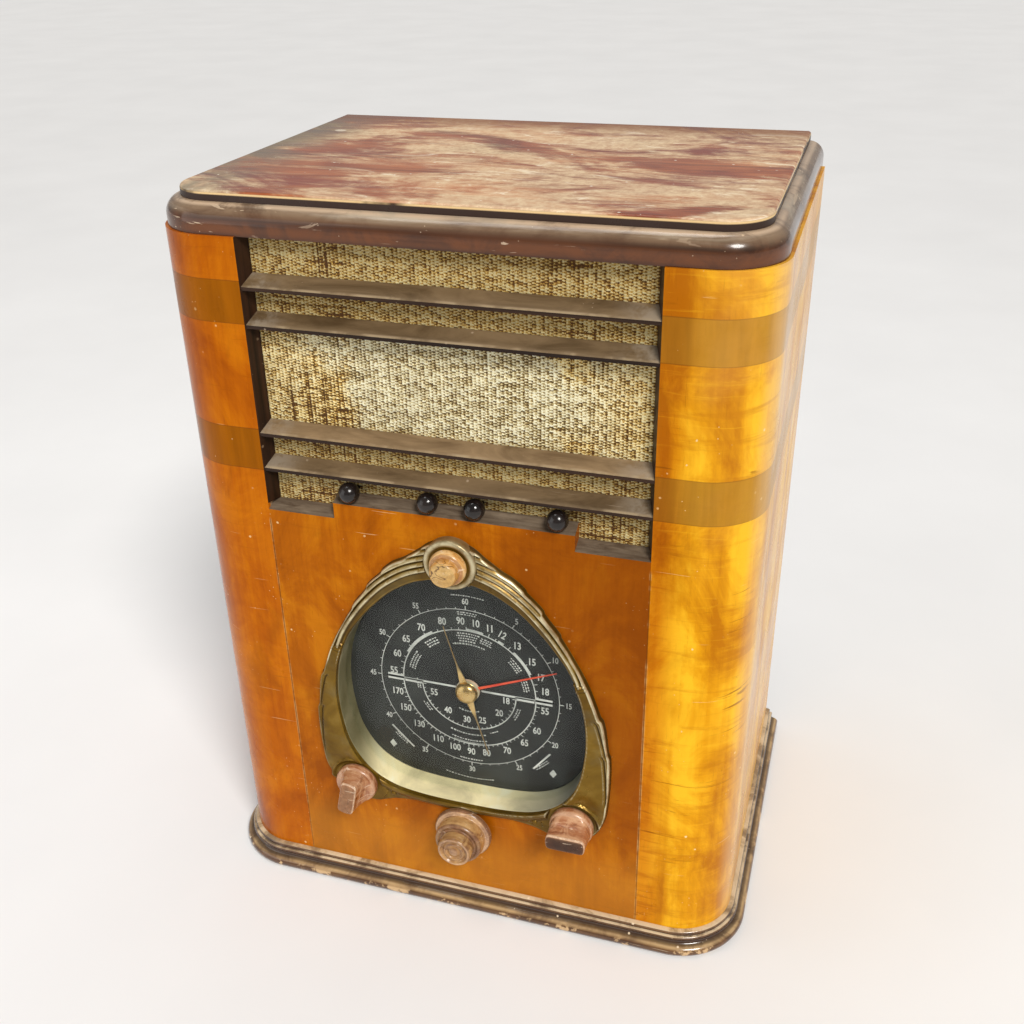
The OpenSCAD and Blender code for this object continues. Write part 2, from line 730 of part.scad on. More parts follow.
// Frame of the three-gang tuning condenser, with its fixed vanes and the feet that raise it
module condenser_frame() {
    y0 = drum_y + drum_t + 4;
    l = 118;
    color(steel) difference() {
        union() {
            for (k = [0:3]) translate([-40, y0 + k * (l - 3) / 3, dial_z - 40]) cube([80, 3, 76]);
            for (s = [-1, 1]) translate([s * 37 - 3, y0, dial_z - 40]) cube([6, l, 6]);
            for (s = [-1, 1]) translate([s * 34 - 4, y0 + 12, pan_top]) cube([8, l - 24, dial_z - 40 - pan_top]);
            for (k = [0:2], v = [0:3]) translate([-36, y0 + 9 + k * (l - 3) / 3 + 7 * v, dial_z - 34])
                cube([72, 1.2, 30]);
            for (k = [0:2]) translate([-36, y0 + 3 + k * (l - 3) / 3, dial_z - 34]) cube([72, l / 3 - 4, 3]);
        }
        rod(0, dial_z, y0 - 1, y0 + l + 1, shaft_d + 2 * run_gap);
        for (k = [0:2]) rod(0, dial_z, y0 + 3 + k * (l - 3) / 3, y0 + (k + 1) * (l - 3) / 3, 12);
    }
}

// Rotor: the shaft with its semicircular vanes, half meshed at rest
module condenser_rotor() {
    y0 = drum_y + drum_t + 4;
    l = 118;
    color([0.8, 0.8, 0.78]) {
        rod(0, dial_z, plate_y - 4.6, y0 + l + 4, shaft_d);
        for (k = [0:2], v = [0:2]) rotate_about_dial(gold_angle + 90)
            deep(y0 + 12 + k * (l - 3) / 3 + 7 * v, y0 + 13.2 + k * (l - 3) / 3 + 7 * v) intersection() {
                circle(29);
                translate([-30, 0]) square([60, 30]);
            }
    }
}
module cord_grommet() {
    y1 = pan_y + pan_d;
    color(black) difference() {
        union() {
            rod(100, 80, y1 - pan_t, y1, 14);
            rod(100, 80, y1, y1 + 2, 18);
            rod(100, 80, y1 - pan_t - 2, y1 - pan_t, 18);
        }
        rod(100, 80, y1 - pan_t - 3, y1 + 3, 9);
    }
}

// Loudspeaker: flange, tapering basket with four windows, and a seat for the magnet
module speaker_basket() {
    r = speaker_d / 2;
    color(steel) difference() {
        turned(0, speaker_z, baffle_back + 46) polygon([[18, 0], [40, 0], [42, 4], [r - 11, 43.4], [r, 43.4],
            [r, 46], [r - 14, 46], [r - 14, 42], [38, 2], [18, 2]]);
        for (a = [0:90:270]) translate([0, baffle_back + 24, speaker_z]) rotate([0, a, 0])
            translate([20, -11, -22]) cube([60, 22, 44]);
        for (p = speaker_bolt_spots) rod(p[0], p[1], baffle_back - 1, baffle_back + 4, 4);
    }
}
module speaker_magnet() {
    y0 = baffle_back + 46;
    color(black) difference() {
        rod(0, speaker_z, y0, y0 + 50, 66);
        turned(0, speaker_z, y0 + 16) translate([11.5, -1]) square([6, 20]);
    }
}

// Paper cone with its voice coil, which slides along the loudspeaker's axis
module speaker_cone() {
    color([0.16, 0.15, 0.14]) turned(0, speaker_z, baffle_back + 54)
        polygon([[14, 0], [15, 0], [15, 13.5], [64, 49], [66, 49], [66, 50], [63.6, 50], [14, 15]]);
}
module output_transformer() {
    y0 = baffle_back + 56;
    color([0.2, 0.2, 0.2]) difference() {
        union() {
            translate([-22, y0, speaker_z + 24]) cube([44, 30, 36]);
            translate([-26, y0 + 8, speaker_z + 32]) cube([52, 14, 32]);
        }
        rod(0, speaker_z, y0 - 1, y0 + 40, 66);
    }
}
module speaker_bolts() {
    color(steel) for (p = speaker_bolt_spots) {
        rod(p[0], p[1], cloth_back + 3, baffle_back + 2.6, 4);
        translate([p[0], baffle_back + 5.6, p[1]]) rotate([90, 0, 0]) cylinder(h = 3, d = 8, $fn = 6);
    }
}

left_side_shell();
right_side_shell();
front_panel();
grille_jambs();
louvre_bar_1();
louvre_bar_2();
louvre_bar_3();
louvre_bar_4();
top_moulding();
top_board();
base_moulding();
bottom_board();
cabinet_framing();
speaker_baffle();
grille_cloth();
dial_escutcheon();
escutcheon_pins();
dial_glass();
glass_frame();
dial_plate();
lamp_housing();
dial_lamps();
main_pointer();
red_pointer();
drive_drum();
drive_cord();
tuning_knob();
tuning_shaft();
volume_knob();
volume_shaft();
volume_control();
band_knob();
band_shaft();
band_switch();
sensitivity_knob();
sensitivity_shaft();
sensitivity_control();
tone_lever_1();
tone_lever_2();
tone_lever_3();
tone_lever_4();
tone_switch_bracket();
chassis_pan();
chassis_runners();
chassis_cushions();
chassis_bolts();
tube_sockets();
tube_bases();
tube_bulbs();
if_cans();
power_transformer();
filter_capacitors();
condenser_frame();
condenser_rotor();
cord_grommet();
speaker_basket();
speaker_magnet();
speaker_cone();
output_transformer();
speaker_bolts();
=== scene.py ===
"""Looks for an upright wooden table radio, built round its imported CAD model. Metres throughout."""
import math
import bmesh
import bpy
import numpy as np
from mathutils import Matrix, Vector


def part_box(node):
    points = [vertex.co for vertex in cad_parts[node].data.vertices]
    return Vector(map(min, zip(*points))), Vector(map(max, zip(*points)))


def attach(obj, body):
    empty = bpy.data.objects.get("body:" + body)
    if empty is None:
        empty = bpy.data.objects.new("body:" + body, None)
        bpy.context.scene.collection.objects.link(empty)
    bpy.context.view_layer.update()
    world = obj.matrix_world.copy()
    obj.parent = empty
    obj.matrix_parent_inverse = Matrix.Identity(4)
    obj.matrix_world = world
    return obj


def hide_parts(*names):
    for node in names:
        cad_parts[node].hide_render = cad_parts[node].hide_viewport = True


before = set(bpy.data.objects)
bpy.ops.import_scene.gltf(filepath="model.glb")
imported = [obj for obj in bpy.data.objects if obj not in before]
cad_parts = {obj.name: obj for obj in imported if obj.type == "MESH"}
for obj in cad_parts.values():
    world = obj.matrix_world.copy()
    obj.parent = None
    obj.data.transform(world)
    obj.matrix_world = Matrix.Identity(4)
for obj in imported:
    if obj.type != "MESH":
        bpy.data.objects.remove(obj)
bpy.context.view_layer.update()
MM = 0.001


# ---------------------------------------------------------------- camera, light and floor
def make_camera():
    """A camera to the front right, above the radio."""
    place = Vector((0.2588, -0.7969, 0.7528))
    ahead = Vector((-0.27122, 0.83792, -0.47364))
    right = Vector((0.95415, 0.29881, -0.01776))
    up = right.cross(ahead)
    data = bpy.data.cameras.new("camera")
    data.lens = 40.44
    data.sensor_width = 36
    data.clip_start = 0.01
    camera = bpy.data.objects.new("camera", data)
    bpy.context.scene.collection.objects.link(camera)
    turn = Matrix((right, up, -ahead)).transposed().to_4x4()
    camera.matrix_world = Matrix.Translation(place) @ turn
    bpy.context.scene.camera = camera


def new_light(name, kind, power, place, target, **sizes):
    data = bpy.data.lights.new(name, kind)
    data.energy = power
    for key, value in sizes.items():
        setattr(data, key, value)
    light = bpy.data.objects.new(name, data)
    bpy.context.scene.collection.objects.link(light)
    light.location = place
    light.rotation_euler = (Vector(target) - Vector(place)).to_track_quat("-Z", "Y").to_euler()


def make_studio():
    """A broad warm light from above the front right, a dim even sky and a pale floor."""
    bpy.context.scene.view_settings.view_transform = "Standard"
    world = bpy.data.worlds.new("studio")
    bpy.context.scene.world = world
    world.use_nodes = True
    world.node_tree.nodes["Background"].inputs["Color"].default_value = (1, 1, 1, 1)
    world.node_tree.nodes["Background"].inputs["Strength"].default_value = 0.30
    new_light("key", "SUN", 2.9, (0.50, -0.62, 0.80), (0, 0, 0), angle=0.34, color=(1, 0.97, 0.93))
    new_light("overhead", "AREA", 7, (-0.2, 0.15, 2.1), (0, 0, 0.4), shape="RECTANGLE", size=1.5, size_y=0.4)
    new_light("fill", "AREA", 7, (-1.5, -1.4, 0.9), (0, 0, 0.3), size=1.4)
    size = 40.0
    floor = grid_mesh("floor", [[(x, y, 0) for x in (-size, size)] for y in (-size, size)])
    floor.data.materials.append(floor_material())


# ---------------------------------------------------------------- mesh helpers
def new_object(name, verts, faces, smooth=True, closed=True):
    mesh = bpy.data.meshes.new(name)
    mesh.from_pydata([tuple(float(c) for c in v) for v in verts], [], faces)
    mesh.validate()
    if closed:
        shape = bmesh.new()
        shape.from_mesh(mesh)
        bmesh.ops.recalc_face_normals(shape, faces=shape.faces)
        shape.to_mesh(mesh)
        shape.free()
    if smooth:
        mesh.polygons.foreach_set("use_smooth", [True] * len(mesh.polygons))
        mesh.set_sharp_from_angle(angle=0.7)
    mesh.update()
    thing = bpy.data.objects.new(name, mesh)
    bpy.context.scene.collection.objects.link(thing)
    return thing


def grid_faces(rows, cols, wrap_rows=False, wrap_cols=False):
    """Quads of a grid of rows x cols points that are numbered along the rows."""
    faces = []
    for i in range(rows if wrap_rows else rows - 1):
        for j in range(cols if wrap_cols else cols - 1):
            a, b = i * cols + j, i * cols + (j + 1) % cols
            c, d = (i + 1) % rows * cols + (j + 1) % cols, (i + 1) % rows * cols + j
            faces.append((a, b, c, d))
    return faces


def grid_mesh(name, rows):
    verts = [p for row in rows for p in row]
    return new_object(name, verts, grid_faces(len(rows), len(rows[0])), closed=False)


def spline(a, b, c, d, steps):
    """Points from b towards c, on the smooth curve that also passes a and d."""
    return [0.5 * (2 * b + (c - a) * t + (2 * a - 5 * b + 4 * c - d) * t**2 + (3 * b - a - 3 * c + d) * t**3)
            for t in np.arange(steps) / steps]


def rounded(profile, steps=3):
    """A profile with a smooth curve run through its points."""
    pts = np.array(profile, float)
    last = len(pts) - 1
    out = []
    for i in range(last):
        out += spline(pts[max(i - 1, 0)], pts[i], pts[i + 1], pts[min(i + 2, last)], steps)
    return np.array(out + [pts[last]])


def ring_points(profile, centre, sides):
    """Points of a profile turned about an axis along Y. Profile: (radius, distance in front of centre)."""
    angles = np.arange(sides) * 2 * math.pi / sides
    x, y, z = centre
    return [(x + r * math.cos(a), y - d, z + r * math.sin(a)) for r, d in profile for a in angles]


def lathe(profile, centre, sides):
    """Verts and faces of a turned shape that is closed at both ends of its profile."""
    x, y, z = centre
    verts = ring_points(profile, centre, sides)
    faces = grid_faces(len(profile), sides, wrap_cols=True)
    for row, point in ((0, profile[0]), (len(profile) - 1, profile[-1])):
        verts.append((x, y - point[1], z))
        hub = len(verts) - 1
        for j in range(sides):
            a, b = row * sides + j, row * sides + (j + 1) % sides
            faces.append((a, b, hub) if row else (b, a, hub))
    return verts, faces


def joined(parts):
    """One list of verts and one of faces from several pairs."""
    verts, faces = [], []
    for v, f in parts:
        n = len(verts)
        verts.extend(v)
        faces.extend(tuple(i + n for i in face) for face in f)
    return verts, faces


def finish_piece(piece, body, slot, material, *replaced):
    set_material(piece, material)
    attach(piece, body)
    if replaced:
        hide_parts(*replaced)
    return piece


# ---------------------------------------------------------------- shader helpers
class Field:
    """A shader's number or colour that varies over the surface. Arithmetic on it adds maths nodes."""

    def __init__(self, shader, socket):
        self.shader, self.socket = shader, socket

    def __add__(self, other):
        return self.shader.math("ADD", self, other)

    def __sub__(self, other):
        return self.shader.math("SUBTRACT", self, other)

    def __rsub__(self, other):
        return self.shader.math("SUBTRACT", other, self)

    def __mul__(self, other):
        return self.shader.math("MULTIPLY", self, other)

    def __truediv__(self, other):
        return self.shader.math("DIVIDE", self, other)

    def __pow__(self, other):
        return self.shader.math("POWER", self, other)

    def __abs__(self):
        return self.shader.math("ABSOLUTE", self)


def dimmed(colour, share):
    return tuple(c * share for c in colour)


class Shader:
    """A node material that is written as nested calls. Coordinates are the piece's own, in metres."""

    def __init__(self, name):
        self.material = bpy.data.materials.new(name)
        self.material.use_nodes = True
        self.tree = self.material.node_tree
        self.bsdf = self.tree.nodes["Principled BSDF"]
        self.place = self.out(self.node("ShaderNodeTexCoord"), "Object")

    def node(self, kind, **settings):
        made = self.tree.nodes.new(kind)
        for key, value in settings.items():
            setattr(made, key, value)
        return made

    def out(self, node, which=0):
        return Field(self, node.outputs[which])

    def plug(self, socket, value):
        if isinstance(value, Field):
            self.tree.links.new(value.socket, socket)
        elif isinstance(value, (tuple, list)) and len(value) == 3 and len(socket.default_value) == 4:
            socket.default_value = (*value, 1)
        else:
            socket.default_value = value

    def math(self, operation, a, b=0.0):
        n = self.node("ShaderNodeMath", operation=operation)
        self.plug(n.inputs[0], a)
        self.plug(n.inputs[1], b)
        return self.out(n)

    def most(self, first, *others):
        """The highest of several numbers."""
        for other in others:
            first = self.math("MAXIMUM", first, other)
        return first

    def stretch(self, scale, shift=(0, 0, 0), turn=(0, 0, 0), source=None):
        n = self.node("ShaderNodeMapping")
        self.plug(n.inputs["Vector"], source or self.place)
        n.inputs["Scale"].default_value = scale
        n.inputs["Location"].default_value = shift
        n.inputs["Rotation"].default_value = turn
        return self.out(n)

    def noise(self, scale, detail=3.0, rough=0.55, warp=0.0, vector=None):
        n = self.node("ShaderNodeTexNoise")
        self.plug(n.inputs["Vector"], vector or self.place)
        n.inputs["Scale"].default_value = scale
        n.inputs["Detail"].default_value = detail
        n.inputs["Roughness"].default_value = rough
        n.inputs["Distortion"].default_value = warp
        return self.out(n)

    def grain(self, scale, detail=3.0, rough=0.55, warp=0.0, shift=(0, 0, 0), turn=(0, 0, 0), source=None):
        """Noise with its own scale along each axis."""
        return self.noise(1.0, detail, rough, warp, self.stretch(scale, shift, turn, source))

    def cells(self, scale):
        """Distance from the nearest of many scattered points."""
        n = self.node("ShaderNodeTexVoronoi")
        self.plug(n.inputs["Vector"], self.place)
        n.inputs["Scale"].default_value = scale
        return self.out(n)

    def ramp(self, value, stops):
        """Colours, or grey numbers, at places from 0 to 1."""
        n = self.node("ShaderNodeValToRGB")
        self.plug(n.inputs[0], value)
        elements = n.color_ramp.elements
        while len(elements) < len(stops):
            elements.new(0.5)
        for element, (at, colour) in zip(elements, stops):
            element.position = at
            element.color = (*colour, 1) if isinstance(colour, tuple) else (colour, colour, colour, 1)
        return self.out(n)

    def between(self, value, low, high, to_low=0.0, to_high=1.0):
        """A number remapped smoothly and held within its new range."""
        n = self.node("ShaderNodeMapRange", interpolation_type="SMOOTHSTEP")
        self.plug(n.inputs[0], value)
        for i, v in enumerate((low, high, to_low, to_high)):
            n.inputs[i + 1].default_value = v
        return self.out(n)

    def mix(self, share, a, b, blend="MIX"):
        n = self.node("ShaderNodeMix", data_type="RGBA", blend_type=blend)
        self.plug(n.inputs["Factor"], share)
        self.plug(n.inputs[6], a)
        self.plug(n.inputs[7], b)
        return self.out(n, 2)

    def axis(self, index, source=None):
        n = self.node("ShaderNodeSeparateXYZ")
        self.plug(n.inputs[0], source or self.place)
        return self.out(n, index)

    def facing(self, index):
        """The surface normal's share along X, Y or Z."""
        return self.axis(index, self.out(self.node("ShaderNodeTexCoord"), "Normal"))

    def band(self, index, low, high, soft=0.0006):
        """1 where the coordinate lies between two values."""
        at = self.axis(index)
        up = self.between(at, low - soft, low + soft)
        down = self.between(at, high - soft, high + soft, 1.0, 0.0)
        return up * down

    def dial_radius(self):
        """Distance from the dial's centre, seen from the front."""
        x, z = self.axis(0), self.axis(2) - DIAL[1]
        return self.math("SQRT", x * x + z * z)

    def bump(self, height, strength, distance=0.001, normal=None):
        n = self.node("ShaderNodeBump")
        self.plug(n.inputs["Height"], height)
        n.inputs["Strength"].default_value = strength
        n.inputs["Distance"].default_value = distance
        if normal:
            self.plug(n.inputs["Normal"], normal)
        return self.out(n)

    def done(self, colour, roughness, normal=None, **fixed):
        self.plug(self.bsdf.inputs["Base Color"], colour)
        self.plug(self.bsdf.inputs["Roughness"], roughness)
        if normal:
            self.plug(self.bsdf.inputs["Normal"], normal)
        for key, value in fixed.items():
            self.plug(self.bsdf.inputs[key.replace("_", " ")], value)
        return self.material


def floor_material():
    s = Shader("pale_floor")
    tint = s.ramp(s.noise(3, 4), [(0.3, (0.80, 0.80, 0.80)), (0.7, (0.84, 0.84, 0.84))])
    return s.done(tint, 0.85)


# ---------------------------------------------------------------- wood
def streaks(s, along, fine=1.0, shift=0.0):
    """Long wood fibres, 0 to 1, along X (0), Y (1) or Z (2)."""
    scale = [260 * fine] * 3
    scale[along] = 5 * fine
    return s.grain(scale, 5, 0.6, 0.3, shift=(shift, shift, shift))


def lacquer_wear(s, colour, bare=(0.80, 0.55, 0.26), amount=0.8):
    """Small chips and fine scratches through the lacquer."""
    edge = (s.noise(420, 3, 0.7) - 0.5) * 0.1
    cells = s.cells(70) + edge
    spots = s.between(cells, 0.05, 0.085, 1.0, 0.0) * s.between(s.noise(19, 3), 0.46, 0.56)
    specks = s.between(s.cells(210), 0.06, 0.1, 0.8, 0.0) * s.between(s.noise(31, 3), 0.52, 0.62)
    lines = s.grain((16, 16, 520), 2, 0.5, 0.0, turn=(0.3, 0.9, 0.5))
    scratches = s.between(lines, 0.735, 0.755) * 0.45
    worn = s.most(spots, specks, scratches) * amount
    return s.mix(worn, colour, bare), worn


def veneer(name, tones, seed=0.0, fibre=0.25, blotch=0.5, figure=0.3, flame=0.3, bands=(),
           extra=None, seam=None, inside=(1, 1)):
    """Lacquered walnut with upright grain, raw on the inside.

    Tones run dark to light, and figure adds lines across the grain."""
    s = Shader(name)
    dark, middle, light = tones
    cloud = s.grain((17, 17, 11), 6, 0.66, 0.8, shift=(seed, seed, seed))
    sheen = s.grain((30, 30, 2.2), 3, 0.5, 0.3, shift=(seed, 0, seed))
    tone = cloud * blotch + streaks(s, 2, 1.0, seed) * fibre
    tone = tone + sheen * (1.0 - blotch - fibre)
    colour = s.ramp(tone, [(0.41, dark), (0.50, middle), (0.58, light)])
    flames = s.grain((24, 24, 12), 5, 0.6, 0.8, shift=(seed + 4, 1, 2))
    colour = s.mix(s.between(flames, 0.54, 0.7, 0.0, flame), colour, dimmed(dark, 0.62))
    ripple = s.grain((12, 12, 120), 5, 0.65, 0.5, shift=(seed, 0, 0))
    colour = s.mix(s.between(ripple, 0.50, 0.68, 0.0, figure), colour, dark)
    lines = s.grain((20, 20, 330), 4, 0.6, 0.8, shift=(0, seed, 0))
    where = s.between(s.noise(17, 3, 0.6), 0.45, 0.6)
    colour = s.mix(s.between(lines, 0.6, 0.7, 0.0, figure * 1.5) * where, colour, dimmed(dark, 0.55))
    colour = s.mix(s.between(lines, 0.42, 0.30, 0.0, figure * 0.5), colour, light)
    pores = s.grain((1300, 1300, 70), 2, 0.7, 0.0)
    colour = s.mix(s.between(pores, 0.62, 0.75, 0.0, 0.25), colour, dimmed(dark, 0.35))
    for low, high, tint in bands:
        grain = s.grain((90, 90, 9), 4, 0.6, 0.5, shift=(seed, 2, 0))
        inlay = s.ramp(grain, [(0.35, dimmed(tint, 0.74)), (0.65, tint)])
        colour = s.mix(s.band(2, low, high, 0.0004) * 0.9, colour, inlay)
        for at in (low, high):
            line = s.band(2, at - 0.0003, at + 0.0003, 0.0003)
            colour = s.mix(line * 0.45, colour, (0.06, 0.022, 0.006))
    colour, worn = lacquer_wear(s, colour)
    if seam:
        beside = abs(abs(s.axis(0)) - seam)
        below = s.between(s.axis(2), 0.345, 0.350, 1.0, 0.0)
        joint = s.between(beside, 0.0002, 0.0007, 1.0, 0.0) * below
        rub = s.between(beside, 0.0006, 0.0012, 1.0, 0.0) * s.between(s.grain((1, 1, 23), 5, 0.75, 0),
                                                                      0.42, 0.6)
        share = s.between(s.axis(0), -0.01, 0.01, 0.35, 0.85)
        colour = s.mix(rub * below * share, colour, (0.84, 0.56, 0.23))
        colour = s.mix(joint * 0.7, colour, (0.08, 0.028, 0.006))
    if extra:
        colour, worn = extra(s, colour, worn)
    axis, sign = inside
    raw = s.between(s.facing(axis) * sign, 0.3, 0.6)
    raw = s.most(raw, s.between(s.facing(1), 0.5, 0.8)) * s.between(s.axis(1), -0.1355, -0.1345)
    bare = s.ramp(streaks(s, 2, 0.5, seed) * 0.6 + cloud * 0.4, [(0.35, (0.2, 0.115, 0.055)),
                                                                 (0.65, (0.44, 0.3, 0.17))])
    colour = s.mix(raw, colour, bare)
    worn = s.most(worn, raw)
    dull = s.between(s.noise(11, 4, 0.6), 0.35, 0.7, 0.20, 0.36)
    rough = dull + worn * 0.3
    height = pores * 0.25 + worn * -0.8
    sag = s.bump(s.noise(28, 2, 0.5), 0.10, 0.002)
    normal = s.bump(height, 0.2, 0.0004, sag)
    return s.done(colour, rough, normal, Specular_IOR_Level=0.16, Specular_Tint=(1.0, 0.50, 0.12))


BAND_ROWS = ((0.498, 0.528), (0.388, 0.420))


def dusty_sills(s, colour, worn):
    """The sloping ledges below the grille are dark and dusty, with a pale worn front edge."""
    fibre = streaks(s, 0, 0.8, 8)
    dust = s.ramp(s.grain((50, 220, 220), 5, 0.65, 0.4), [(0.3, (0.085, 0.058, 0.038)),
                                                          (0.7, (0.235, 0.18, 0.125))])
    pale = s.between(s.axis(2), 0.10, 0.05, 0.0, 0.45)
    colour = s.mix(pale, colour, (0.50, 0.205, 0.022))
    # darker towards the lower right of the front panel
    darker_lower_right = s.between(s.axis(0), 0.01, 0.12, 0.0, 0.55) * s.between(s.axis(2), 0.05, 0.16)
    colour = s.mix(darker_lower_right, colour, (0.19, 0.040, 0.002))
    sill = s.between(s.facing(2), 0.1, 0.25) * s.between(s.axis(2), 0.34, 0.342)
    colour = s.mix(sill, colour, s.mix(s.between(fibre, 0.3, 0.7, 0.0, 0.5), dust, (0.04, 0.024, 0.016)))
    return colour, s.most(worn, sill * 0.6)


def sunned(s, colour, worn):
    """The right pilaster: painted shade beside the front panel, a painted highlight where it turns, a painted
    glare on its side faces, and paler patches high up.
    """
    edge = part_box("front_panel")[1].x
    across, up = s.axis(0), s.axis(2)
    painted_side_glare = s.between(s.facing(0), 0.75, 0.97)
    # painted shade where the pilaster meets the front panel, weaker high up
    shade = s.between(across, edge + 0.004, edge + 0.02, 1.0, 0.0) * s.between(up, 0.34, 0.5, 1.0, 0.3)
    colour = s.mix(shade, colour, (0.82, 0.64, 0.50), "MULTIPLY")
    # painted highlight where the pilaster starts to turn
    painted_glow = s.between(across, edge + 0.012, edge + 0.028)
    colour = s.mix(painted_glow, colour, (1.14, 1.30, 1.50), "MULTIPLY")
    # paler in patches high up, more so away from the front panel
    patches = s.between(s.noise(13, 4, 0.6, 0.4), 0.36, 0.62, 0.25, 1.0)
    pale_high_patches = s.between(up, 0.28, 0.5, 0.0, 0.25) * patches
    pale_high_patches = pale_high_patches * s.between(across, edge + 0.01, edge + 0.045, 0.1, 1.0)
    colour = s.mix(pale_high_patches, colour, (0.78, 0.42, 0.115))
    # painted glare on the side faces
    return s.mix(painted_side_glare * 0.3, colour, (0.82, 0.6, 0.33)), worn


def cabinet_materials():
    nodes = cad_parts
    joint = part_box("front_panel")[1].x
    left_tones = ((0.31, 0.062, 0.0010), (0.42, 0.098, 0.0012), (0.52, 0.145, 0.002))
    right_tones = ((0.42, 0.125, 0.002), (0.63, 0.240, 0.004), (0.80, 0.38, 0.013))
    front_tones = ((0.27, 0.062, 0.001), (0.39, 0.100, 0.0015), (0.50, 0.155, 0.003))
    olive_left = (0.31, 0.092, 0.001)
    olive_right = (0.39, 0.158, 0.011)
    left_bands = [(a, b, olive_left) for a, b in BAND_ROWS]
    right_bands = [(a, b, olive_right) for a, b in BAND_ROWS]
    use = {
        "left_side_shell": veneer("veneer_left", left_tones, 2.0, 0.14, 0.6, 0.18, 0.4, left_bands,
                                  seam=joint, inside=(0, 1)),
        "right_side_shell": veneer("veneer_right", right_tones, 7.0, 0.08, 0.54, 0.5, 0.2, right_bands,
                                   extra=sunned, seam=joint, inside=(0, -1)),
        "front_panel": veneer("veneer_front", front_tones, 4.0, 0.12, 0.62, 0.18, 0.34,
                              extra=dusty_sills, seam=joint),
    }
    for name, material in use.items():
        set_material(nodes[name], material)
    set_material(nodes["top_board"], top_material())
    set_material(nodes["top_moulding"], moulding_material("bullnose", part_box("top_moulding"), True))
    for i in range(1, 5):
        set_material(nodes[f"louvre_bar_{i}"], louvre_material(i))
    set_material(nodes["grille_jambs"], jamb_material())
    for name, seed in (("bottom_board", 1), ("cabinet_framing", 2), ("speaker_baffle", 3),
                       ("chassis_runners", 4)):
        set_material(nodes[name], raw_wood(name, seed))


def set_material(thing, material):
    thing.data.materials.clear()
    thing.data.materials.append(material)


def top_material():
    """Red-brown lacquer under long pale smears that were wiped on at a slant."""
    s = Shader("top_wood")
    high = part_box("top_board")[1]
    blotch = s.grain((6, 13, 6), 5, 0.6, 0.8, turn=(0, 0, 0.35))
    colour = s.ramp(blotch, [(0.32, (0.11, 0.024, 0.01)), (0.48, (0.33, 0.085, 0.028)),
                             (0.66, (0.52, 0.17, 0.055))])
    maroon = s.between(s.grain((5, 11, 5), 3, 0.6, 0.5, shift=(3, 1, 0)), 0.5, 0.64, 0.0, 0.6)
    colour = s.mix(maroon, colour, (0.20, 0.028, 0.022))
    colour = s.mix(s.between(streaks(s, 0, 0.8, 3), 0.45, 0.7, 0.0, 0.45), colour, (0.085, 0.020, 0.010))
    where = s.grain((6.0, 9.5, 4), 5, 0.6, 1.7, shift=(0.35, 0.2, 0), turn=(0, 0, 0.35))
    brush = s.grain((16, 62, 9), 6, 0.7, 1.3, turn=(0, 0, 0.5))
    smear = s.between(where + (brush - 0.5) * 0.46, 0.38, 0.58)
    grit = s.between(s.noise(150, 4, 0.75), 0.30, 0.70, 0.50, 0.95)
    colour = s.mix(smear * grit, colour, (0.73, 0.56, 0.35))
    crisp = s.grain((13, 40, 10), 6, 0.7, 1.8, shift=(2, 4, 0), turn=(0, 0, 0.62))
    colour = s.mix(s.between(crisp, 0.56, 0.64, 0.0, 0.75) * s.between(where, 0.42, 0.55), colour,
                   (0.86, 0.74, 0.55))
    grey = s.between(s.grain((9, 14, 4), 4, 0.6, 0.6, shift=(5, 1, 0)), 0.38, 0.54, 0.0, 0.85)
    colour = s.mix(grey * s.between(s.axis(0), -0.13, -0.2), colour, (0.17, 0.145, 0.105))
    far = s.between(s.axis(1), high.y - 0.055, high.y - 0.004, 0.0, 0.75)
    colour = s.mix(far, colour, (0.19, 0.055, 0.018))
    colour, _ = lacquer_wear(s, colour, (0.92, 0.84, 0.70), 0.9)
    # painted shade: the board's edge faces are painted near black for the shaded gap between the board and
    # the bullnose
    side = s.between(abs(s.facing(2)), 0.3, 0.6, 1.0, 0.0)
    colour = s.mix(side, colour, (0.030, 0.012, 0.006))
    lip = s.band(2, high.z - 0.0026, high.z - 0.0002, 0.0004)
    rubbed = s.between(s.grain((14, 14, 1), 4, 0.6, 0), 0.3, 0.42)
    colour = s.mix(lip * side * rubbed, colour, (0.72, 0.5, 0.24))
    rough = s.between(smear, 0.0, 1.0, 0.22, 0.55)
    height = brush * smear + s.noise(60, 4)
    return s.done(colour, rough, s.bump(height, 0.15, 0.001), Specular_IOR_Level=0.35, Coat_Weight=0.1,
                  Coat_Roughness=0.15)


